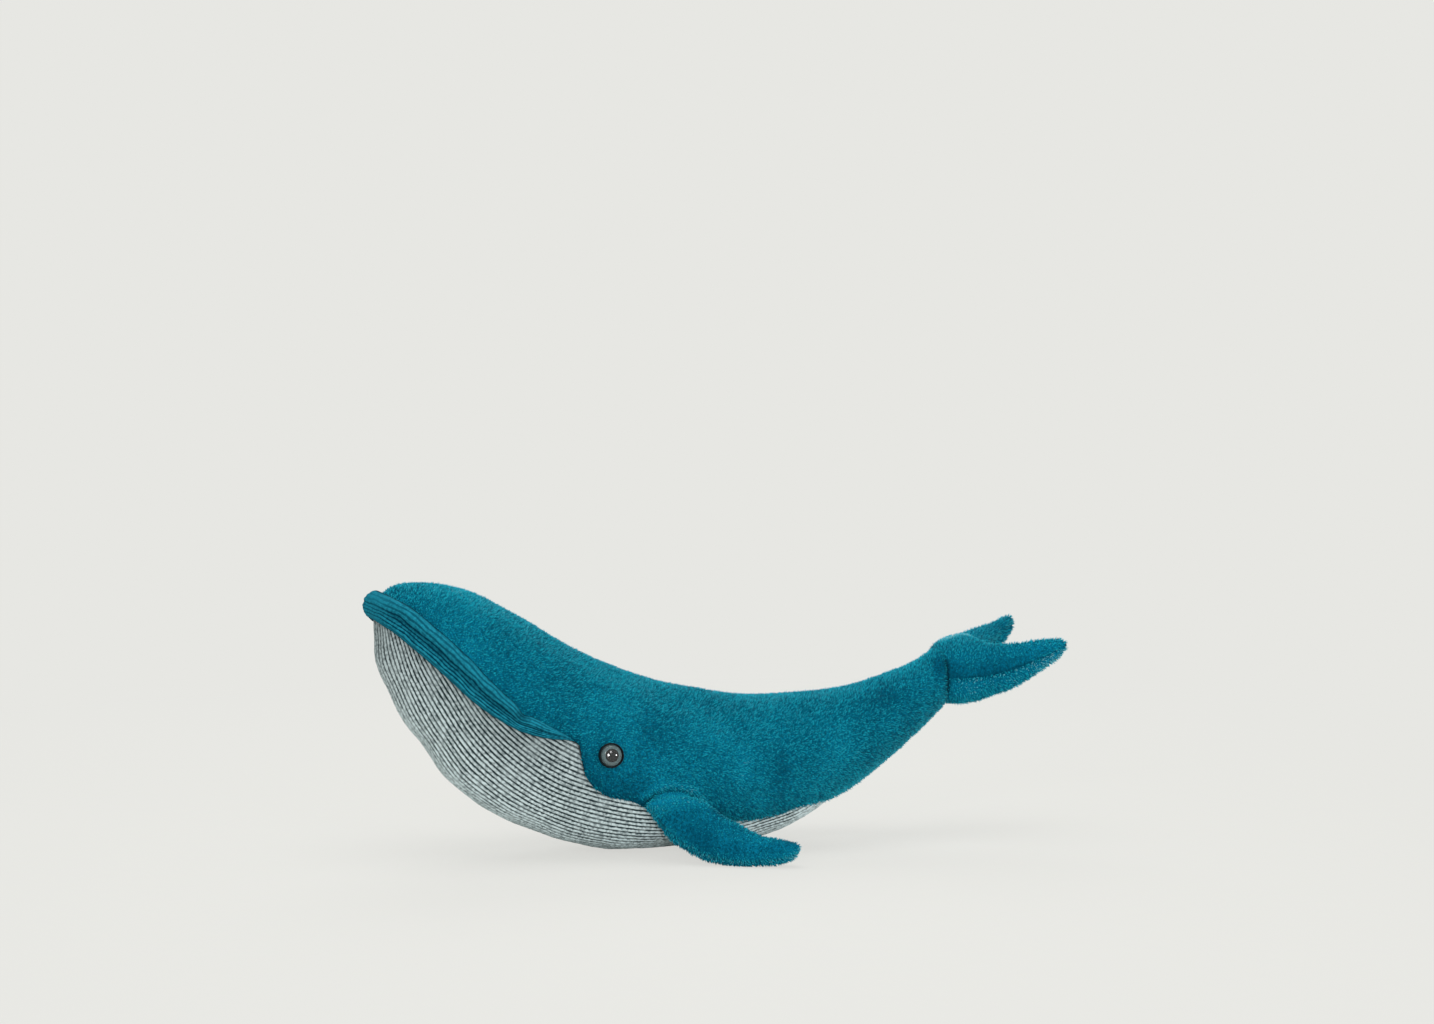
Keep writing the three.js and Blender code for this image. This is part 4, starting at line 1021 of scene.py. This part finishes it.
def makeLip():
    look = lipForm
    shares = np.array(look["shares"])[::-1]
    fine = np.linspace(shares[-1, 0], 0, look["pathPoints"])
    left = bodyPlace(fine, -seamTurn(fine))
    path = np.concatenate([left, left[-2::-1] * acrossMirror])
    station = np.concatenate([fine, fine[-2::-1]])
    sides = np.where(np.arange(len(station)) < len(fine), -1, 1)
    outs = bodyOut(np.maximum(station, 0.02), sides * seamTurn(station))
    outs[len(fine) - 1] = (-1, 0, 0)
    run = runLength(path)
    even = np.linspace(0, run[-1], int(run[-1] / look["step"]))
    path, outs = (
        np.stack([np.interp(even, run, column) for column in values.T], axis=1) for values in (path, outs)
    )
    station = np.interp(even, run, station)
    outs, path = unit(smoothRows(outs, 12)), smoothRows(path, look["smooth"])
    along = unit(np.gradient(path, axis=0))
    across = unit(np.cross(outs, along))
    outs = unit(np.cross(along, across))
    # Across points from the upper edge towards the lower one on both sides
    width = np.interp(station, shares[:, 0], shares[:, 1]) * look["width"]
    thick = np.interp(station, shares[:, 0], shares[:, 2])
    count = look["ribs"] * look["perRib"] + 1
    share = np.linspace(0, 1, count)
    fold = smoothRows(np.interp(share, *np.array(look["profile"]).T), 3)
    plain = smoothRows(np.interp(share, *np.array(look["plain"]).T), 1)
    lobe, snout = easeStep(station, 5.2, 5.5)[:, None], 1 - easeStep(station, 0.5, 2.4)[:, None]
    pastSnout = easeStep(station, 0.4, 1.6)[:, None]
    bulb = look["bulb"] * np.sin(np.pi * share) ** look["bulbShape"] - look["bulbSink"]
    bulb = (bulb - band(share, look["bulbNotch"]))[None]
    height = (fold[None] * (1 - lobe) + plain[None] * lobe) * (1 - snout) + bulb * snout
    kink = band(station, look["kink"])[:, None]
    height = height * (1 - 0.3 * kink)
    length = even[:, None] + 0 * share
    sheet = np.stack([length, share * look["width"] + 0 * length, 0 * length], axis=2)
    wander = look["wander"] * lumps(sheet * np.array([1, 2.2, 1]), look["wanderSize"], 72)
    ribPlace = np.interp(share, *np.array(look["ribPlaces"]).T)[None] + wander
    rib = np.abs(np.sin(np.pi * ribPlace)) ** 0.8
    nub = grain(sheet, look["nubSize"], 71)
    lift = height * (look["proud"] * thick)[:, None]
    ribs = look["ribHeight"] * (rib - 0.6 + 0.35 * nub * rib)
    lift = lift + ribs * (1 - 0.85 * lobe) * np.minimum(thick, 1)[:, None] * (1 - 0.55 * snout)
    reach = (share - 0.5)[None] * width[:, None] + look["kinkDepth"] * kink * (1 - share)[None]
    reach = reach - look["snoutUp"] * (1 - easeStep(station, 0.3, 1.6))[:, None]
    outer = path[:, None] + across[:, None] * reach[..., None] + outs[:, None] * lift[..., None]
    few = np.linspace(1, 0, look["backColumns"] + 2)[1:-1][None]
    inner = path[:, None] + across[:, None] * ((few - 0.5) * width[:, None])[..., None] * 0.9
    inner = inner - outs[:, None] * look["sink"]
    along = even / look["width"] * look["ribs"]
    ring, clothMap = closedRing(outer, inner, along, ribPlace + 0.5, few * look["ribs"])
    piece = gridPiece("lipRoll", ring, clothMap)
    paintedShade, wearAndLight = np.ones(ring.shape[:2]), np.zeros(ring.shape[:2])
    share = share[None]
    trough = band(share, look["troughShade"]) * (1 - lobe) * (1 - 0.7 * snout)
    trough = trough + band(share, look["bandShade"]) * (1 - lobe) * pastSnout
    trough = trough + band(share, look["lobeShade"]) * lobe
    edges = bell(share, look["edgeReach"]) + bell(1 - share, look["edgeReach"])
    # Painted shade in the trough, along both edges and at the kink
    paintedShade[:, :count] = np.clip(0.75 * trough + 0.7 * edges + 0.5 * kink * (share < 0.4), 0, 1)
    # Crests lighter: painted light on the upper fold, which faces the light, and lighter at the lower edge
    # and round the snout
    wearAndLight[:, :count] = 0.32 * (1 - easeStep(share, 0.3, 0.48)) + 0.35 * easeStep(share, 0.84, 0.94)
    wearAndLight[:, :count] += 0.2 * snout + 0.2 * (1 - pastSnout)
    setPointValues(piece, "paintedShade", paintedShade)
    setPointValues(piece, "wearAndLight", wearAndLight)
    closePiece(piece)
    return piece


finLeft, finLeftPile = makeFin("Left", 51)
finRight, finRightPile = makeFin("Right", 52)
flukes, flukesPile = makeFlukes()
lip = makeLip()
print("Fins, flukes and lip made")

# The back's pile is made in two halves, one for each side panel
bodyNap = {**napLook, "spacing": 0.00106, "width": 0.00057, "patch": 0.0012, "lie": (1.0, 0.0, -0.15)}
ridgeLine = backPlush["columns"] // 2
halves = (("Left", slice(0, ridgeLine + 1), 31), ("Right", slice(ridgeLine, None), 32))
plushTufts = [
    pilePiece("backPlushPile" + name, *(values[:, part] for values in plushRows), bodyNap, seed)
    for name, part, seed in halves
]


# Eyes: a black cup with the pupil, a silvery ring in it and a clear dome over it

eyeForm = {
    "sides": 64, "rim": 0.009, "rimTop": 0.0031, "iris": 0.0081, "pupil": 0.0048, "seat": 0.0009,
    "edge": 0.0016, "dome": 0.0034, "shell": 0.0003, "gap": 0.0001, "roll": 0.0009, "floor": 0.0004,
    "bevel": (0.0006, 0.0002), "steps": 12, "lensSteps": 24, "sharp": 50,
}


def domeHeight(radius):
    return eyeForm["edge"] + eyeForm["dome"] * math.sqrt(max(0.0, 1 - (radius / eyeForm["iris"]) ** 2))


def turnedPiece(name, profile, centre, outward):
    radii, heights = np.array(profile).T[:, :, None]
    angle = np.linspace(0, 2 * np.pi, eyeForm["sides"] + 1)
    sideways = unit(np.cross(np.array([0, 0, 1.0]), outward))
    upward = np.cross(outward, sideways)
    ring = np.cos(angle)[:, None] * sideways + np.sin(angle)[:, None] * upward
    places = centre + radii[..., None] * ring[None] + heights[..., None] * outward
    around = angle / (2 * np.pi) + 0 * radii
    clothMap = np.stack([around, radii / eyeForm["rim"] + 0 * around], axis=2)
    piece = gridPiece(name, places, clothMap)
    closePiece(piece, 1e-6)
    bpy.ops.object.shade_smooth_by_angle(angle=math.radians(eyeForm["sharp"]))
    return piece


def makeEye(name, side):
    look = eyeForm
    spot = bodyPlace(eyeSpot[0], side * eyeSpot[1]), bodyOut(eyeSpot[0], side * eyeSpot[1])
    rim, iris, pupil, steps = look["rim"], look["iris"], look["pupil"], look["steps"]
    inIris, offPupil = iris - look["gap"], pupil + look["gap"]
    # Cup: back, rolled rim, inner wall and the pupil's dome on its post
    middle, reach = (rim + iris) / 2, (rim - iris) / 2
    profile = [(0, -look["seat"]), (rim - look["bevel"][0], -look["seat"]), (rim, -look["bevel"][1])]
    for t in np.linspace(0, math.pi, steps):
        profile.append((middle + reach * math.cos(t), look["rimTop"] + look["roll"] * math.sin(t)))
    profile += [(iris, look["floor"]), (pupil, look["floor"])]
    profile += [(pupil * s, domeHeight(pupil * s)) for s in np.linspace(1, 0, steps)]
    cup = turnedPiece("eyeCup" + name, profile, *spot)
    # Ring of silvery film that follows the dome
    base = look["floor"] + look["gap"]
    ring = [(offPupil, base), (inIris, base)]
    ring += [(radius, domeHeight(radius)) for radius in np.linspace(inIris, offPupil, steps)]
    film = turnedPiece("eyeIris" + name, ring + ring[:1], *spot)
    # Clear shell over both
    cover = [inIris * math.cos(t) for t in np.linspace(0, math.pi / 2, look["lensSteps"])]
    inside = [(radius, domeHeight(radius) + look["shell"]) for radius in cover[::-1]]
    outside = [(radius, domeHeight(radius) + 2 * look["shell"]) for radius in cover]
    return cup, film, turnedPiece("eyeLens" + name, inside + outside, *spot)


leftEye, rightEye = makeEye("Left", -1), makeEye("Right", 1)
print("Eyes made")


# Shader groups, each built once for all the materials that share its effect


# Broad soft patches over all of the teal pile
def makePatchGroup():
    tree, given, end = newGroup("broadPatches", {"Place": "vector"}, {"Patch": "value"})
    setSockets(tree, end, {"Patch": noiseOf(tree, given["Place"], 22.0, 3.0)})
    return tree


# Ribs of the cord along its cloth map, with specks, crests lighter from wear and painted light, and painted
# shade in creases
def makeRibGroup():
    inputs = {"Cloth": "vector", "Place": "vector", "WearAndLight": "value", "ShadeMask": "value"}
    inputs.update({"Groove": "colour", "Crest": "colour", "ShadeColour": "colour"})
    tree, given, end = newGroup("cordRibs", inputs, {"Colour": "colour", "Height": "value"})
    across = addNode(tree, "SeparateXYZ", {0: given["Cloth"]}).outputs["Y"]
    wave = doMath(tree, "COSINE", doMath(tree, "MULTIPLY", across, math.pi))
    rib = spanOf(tree, doMath(tree, "MULTIPLY", wave, wave), 0.1, 0.52)
    speck = noiseOf(tree, given["Place"], 430.0, 3.0)
    jitter = spanOf(tree, speck, 0.35, 0.65, -0.6, 0.25)
    level = doMath(tree, "ADD", rib, jitter, clamp=True)
    shown = blendValues(tree, given["WearAndLight"], level, 0.8)
    colour = blendColours(tree, shown, given["Groove"], given["Crest"])
    # Painted shade in the creases, darker than the grooves
    colour = blendColours(tree, given["ShadeMask"], colour, given["ShadeColour"])
    setSockets(tree, end, {"Colour": colour, "Height": speck})
    return tree


# Tangled strands, as loose fibre, woven thread or a moulded grain by their size
def makeStrandGroup():
    inputs = {"Place": "vector", "Size": "value", "First": "colour", "Second": "colour"}
    tree, given, end = newGroup("strands", inputs, {"Colour": "colour", "Height": "value"})
    strands = noiseOf(tree, given["Place"], given["Size"], 4.0, 1.5)
    colour = blendColours(tree, strands, given["First"], given["Second"])
    setSockets(tree, end, {"Colour": colour, "Height": strands})
    return tree


# Fine streaks round a turned piece
def makeStreakGroup():
    inputs = {"Cloth": "vector", "First": "colour", "Second": "colour"}
    tree, given, end = newGroup("turnedStreaks", inputs, {"Colour": "colour"})
    drawn = addNode(tree, "Mapping", {"Vector": given["Cloth"], "Scale": (60.0, 3.0, 1.0)}).outputs[0]
    colour = blendColours(tree, noiseOf(tree, drawn, 1.0, 2.0), given["First"], given["Second"])
    setSockets(tree, end, {"Colour": colour})
    return tree


# The eye's rim is satin and its middle is polished
def makeRimGroup():
    outputs = {"Coat": "value", "Roughness": "value"}
    tree, given, end = newGroup("satinRim", {"Cloth": "vector", "Middle Coat": "value"}, outputs)
    fromMiddle = addNode(tree, "SeparateXYZ", {0: given["Cloth"]}).outputs["Y"]
    satin = spanOf(tree, fromMiddle, 0.885, 0.9)
    coat = blendValues(tree, satin, given["Middle Coat"], 0.0)
    setSockets(tree, end, {"Coat": coat, "Roughness": blendValues(tree, satin, 0.06, 0.5)})
    return tree


broadPatches, cordRibs, strandGrain = makePatchGroup(), makeRibGroup(), makeStrandGroup()
turnedStreaks, satinRim = makeStreakGroup(), makeRimGroup()


# Materials


def darker(colour, share):
    return tuple(share * value for value in colour[:3]) + (1,)


def makePileMaterial(name, dark, light):
    material, tree, shader = newMaterial(name)
    place = objectPlace(tree)
    broad = useGroup(tree, broadPatches, {"Place": place})["Patch"]
    clump = noiseOf(tree, place, 520.0, 4.0)
    level = spanOf(tree, doMath(tree, "ADD", broad, clump), 0.7, 1.35)
    colour = blendColours(tree, level, dark, light)
    # Painted shade, darker still, in the seams and creases
    colour = blendColours(tree, pointValue(tree, "paintedShade"), colour, darker(dark, 0.3))
    setSockets(tree, shader, {
        "Base Color": colour, "Normal": bumpOf(tree, clump, 0.6, 0.0008), "Roughness": 0.95,
        "Specular IOR Level": 0.03, "Sheen Weight": 0.12, "Sheen Roughness": 0.45,
        "Sheen Tint": (0.08, 0.55, 0.75, 1),
    })
    return material


def makeCordMaterial(name, groove, crest):
    material, tree, shader = newMaterial(name)
    ribs = useGroup(tree, cordRibs, {
        "Cloth": clothPlace(tree), "Place": objectPlace(tree), "WearAndLight": pointValue(tree, "wearAndLight"),
        "ShadeMask": pointValue(tree, "paintedShade"), "Groove": groove, "Crest": crest, "ShadeColour": darker(groove, 0.5),
    })
    setSockets(tree, shader, {
        "Base Color": ribs["Colour"], "Normal": bumpOf(tree, ribs["Height"], 0.5, 0.0006), "Roughness": 1.0,
        "Specular IOR Level": 0.03, "Sheen Weight": 0.05, "Sheen Tint": crest,
    })
    return material


def makeTuftMaterial(name, rootShade, dark, light, frostAndLight):
    material, tree, shader = newMaterial(name)
    broad = useGroup(tree, broadPatches, {"Place": objectPlace(tree)})["Patch"]
    tone = pointValue(tree, "tuftTone")
    level = spanOf(tree, doMath(tree, "MULTIPLY_ADD", broad, 0.55, tone), 0.36, 1.18)
    bright = blendColours(tree, level, dark, light)
    # Tones above 1.1 turn to a pale frost: flecks at random, and painted light where the shading lifts the
    # tone
    bright = blendColours(tree, spanOf(tree, tone, 1.1, 1.7), bright, frostAndLight)
    setSockets(tree, shader, {
        # Painted shade at the roots of the tufts, between them
        "Base Color": blendColours(tree, pointValue(tree, "tipShare"), rootShade, bright), "Roughness": 1.0,
        "Specular IOR Level": 0.03, "Sheen Weight": 0.2, "Sheen Roughness": 0.4,
        "Sheen Tint": (0.2, 0.62, 0.8, 1),
    })
    return material


# A coat is given for the eye's cup and film, which have the satin rim
def makeGlossMaterial(name, first, second, coat=None):
    material, tree, shader = newMaterial(name)
    cloth = clothPlace(tree)
    streaks = useGroup(tree, turnedStreaks, {"Cloth": cloth, "First": first, "Second": second})
    looks = {"Roughness": 0.03, "Alpha": 0.03}
    if coat is not None:
        rim = useGroup(tree, satinRim, {"Cloth": cloth, "Middle Coat": coat})
        looks = {"Coat Weight": rim["Coat"], "Roughness": rim["Roughness"]}
        looks.update({"Coat IOR": 1.55, "Specular IOR Level": 0.12})
    setSockets(tree, shader, {"Base Color": streaks["Colour"], **looks})
    return material


def makeFibreMaterial(name, first, second, size, rough=1.0, relief=0.002):
    material, tree, shader = newMaterial(name)
    sockets = {"Place": objectPlace(tree), "Size": size, "First": first, "Second": second}
    strands = useGroup(tree, strandGrain, sockets)
    bump = bumpOf(tree, strands["Height"], 0.7, relief)
    setSockets(tree, shader, {"Base Color": strands["Colour"], "Normal": bump, "Roughness": rough})
    return material


def makePelletMaterial(name, bead, gap):
    material, tree, shader = newMaterial(name)
    beads = addNode(tree, "TexVoronoi", {"Vector": objectPlace(tree), "Scale": 320.0}).outputs["Distance"]
    # Painted shade in the gaps between the pellets
    colour = blendColours(tree, spanOf(tree, beads, 0.2, 0.7), bead, gap)
    bump = bumpOf(tree, beads, 0.8, 0.001, sunk=True)
    setSockets(tree, shader, {"Base Color": colour, "Normal": bump, "Roughness": 0.45})
    return material


# The cloth under the tufts is darker than the tufts, as painted shade between them
tealPile = makePileMaterial("tealPile", (0.0, 0.075, 0.135, 1), (0.002, 0.2, 0.33, 1))
# The cords' groove colours are dark, partly the cloth's own colour and partly painted shade in the grooves
greyCord = makeCordMaterial("greyCord", (0.025, 0.042, 0.047, 1), (0.66, 0.78, 0.8, 1))
tealTuft = makeTuftMaterial(
    "tealTuft", (0.0, 0.05, 0.09, 1), (0.0, 0.115, 0.195, 1), (0.014, 0.6, 0.79, 1), (0.26, 0.78, 0.9, 1)
)
tealCord = makeCordMaterial("tealCord", (0.0, 0.035, 0.065, 1), (0.012, 0.225, 0.32, 1))
eyeBlack = makeGlossMaterial("eyeBlack", (0.002, 0.003, 0.004, 1), (0.006, 0.008, 0.009, 1), 1.0)
eyeSilver = makeGlossMaterial("eyeSilver", (0.05, 0.085, 0.093, 1), (0.14, 0.2, 0.207, 1), 0.5)
eyeClear = makeGlossMaterial("eyeClear", (0.05, 0.06, 0.06, 1), (0.08, 0.09, 0.09, 1))
fibre = makeFibreMaterial("fibreFill", (0.62, 0.61, 0.57, 1), (0.9, 0.89, 0.86, 1), 180.0)
cotton = makeFibreMaterial("pouchCotton", (0.55, 0.5, 0.4, 1), (0.75, 0.69, 0.58, 1), 700.0)
moulded = makeFibreMaterial(
    "mouldedPlastic", (0.66, 0.62, 0.55, 1), (0.78, 0.74, 0.67, 1), 900.0, 0.5, 0.0002
)
pellets = makePelletMaterial("pellets", (0.74, 0.74, 0.72, 1), (0.3, 0.3, 0.29, 1))


# Materials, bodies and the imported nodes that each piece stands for


def dress(piece, material, body, nodes=()):
    piece.data.materials.append(material)
    if isinstance(body, str):
        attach(piece, body)
    else:
        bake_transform(piece)
    if nodes:
        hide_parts(*nodes)


# Loose parts inside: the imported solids' forms, drawn in from the cloth and softened
def softCore(node, name, inset, cell):
    source = frame["nodes"][node]
    clearSelection()
    piece = bpy.data.objects.new(name, source.data.copy())
    bpy.context.scene.collection.objects.link(piece)
    piece.matrix_world = source.matrix_world
    piece.data.materials.clear()
    chooseOnly(piece)
    bpy.ops.object.transform_apply(location=True, rotation=True, scale=True)
    remesh = piece.modifiers.new("Remesh", "REMESH")
    remesh.mode, remesh.voxel_size, remesh.use_smooth_shade = "VOXEL", cell, True
    bpy.ops.object.modifier_apply(modifier=remesh.name)
    smooth = piece.modifiers.new("Smooth", "SMOOTH")
    smooth.factor, smooth.iterations = 0.5, 6
    bpy.ops.object.modifier_apply(modifier=smooth.name)
    shrink = piece.modifiers.new("Displace", "DISPLACE")
    shrink.strength, shrink.mid_level = -inset, 0
    bpy.ops.object.modifier_apply(modifier=shrink.name)
    return piece


tailBodies = ("body", "flukes")
backNodes = ("side_panel_left", "side_panel_right")
flukeNodes = ("flukes_upper", "flukes_under", "flukes_filling")
dress(plush, tealPile, tailBodies, backNodes)
for tufts in plushTufts:
    dress(tufts, tealTuft, tailBodies, ())
dress(flukes, tealPile, tailBodies, flukeNodes)
dress(flukesPile, tealTuft, tailBodies, ())
dress(cord, greyCord, "body", ("belly_panel",))
dress(lip, tealCord, "body", ("lip_roll",))
for name, fin, tufts in (("left", finLeft, finLeftPile), ("right", finRight, finRightPile)):
    hinge, bodies = np.array(joints[f"fin_{name}_flap"]["pos_m"]), ("body", f"fin_{name}")
    nodes = (f"fin_{name}_upper", f"fin_{name}_under", f"fin_{name}_filling")
    dress(fin, tealPile, bodies, nodes)
    dress(tufts, tealTuft, bodies, ())
eyeLooks = (("cup", eyeBlack, "eye_black"), ("iris", eyeSilver, "eye_iris"), ("lens", eyeClear, "eye_clear"))
for name, eye in (("left", leftEye), ("right", rightEye)):
    for piece, (kind, material, slotName) in zip(eye, eyeLooks):
        dress(piece, material, "body", (f"eye_{kind}_{name}",))

for name in ("head", "torso", "tail"):
    core = softCore(name + "_filling", name + "Core", 0.0055, 0.005)
    dress(core, fibre, "body", (name + "_filling",))
pouch = softCore("bean_pouch", "beanPouch", 0.0004, 0.003)
dress(pouch, cotton, "body", ("bean_pouch",))
for node, material in (("bean_fill", pellets), ("eye_washer_left", moulded), ("eye_washer_right", moulded)):
    frame["nodes"][node].material_slots[0].material = material
print("Filling, pouch and kept nodes dressed")
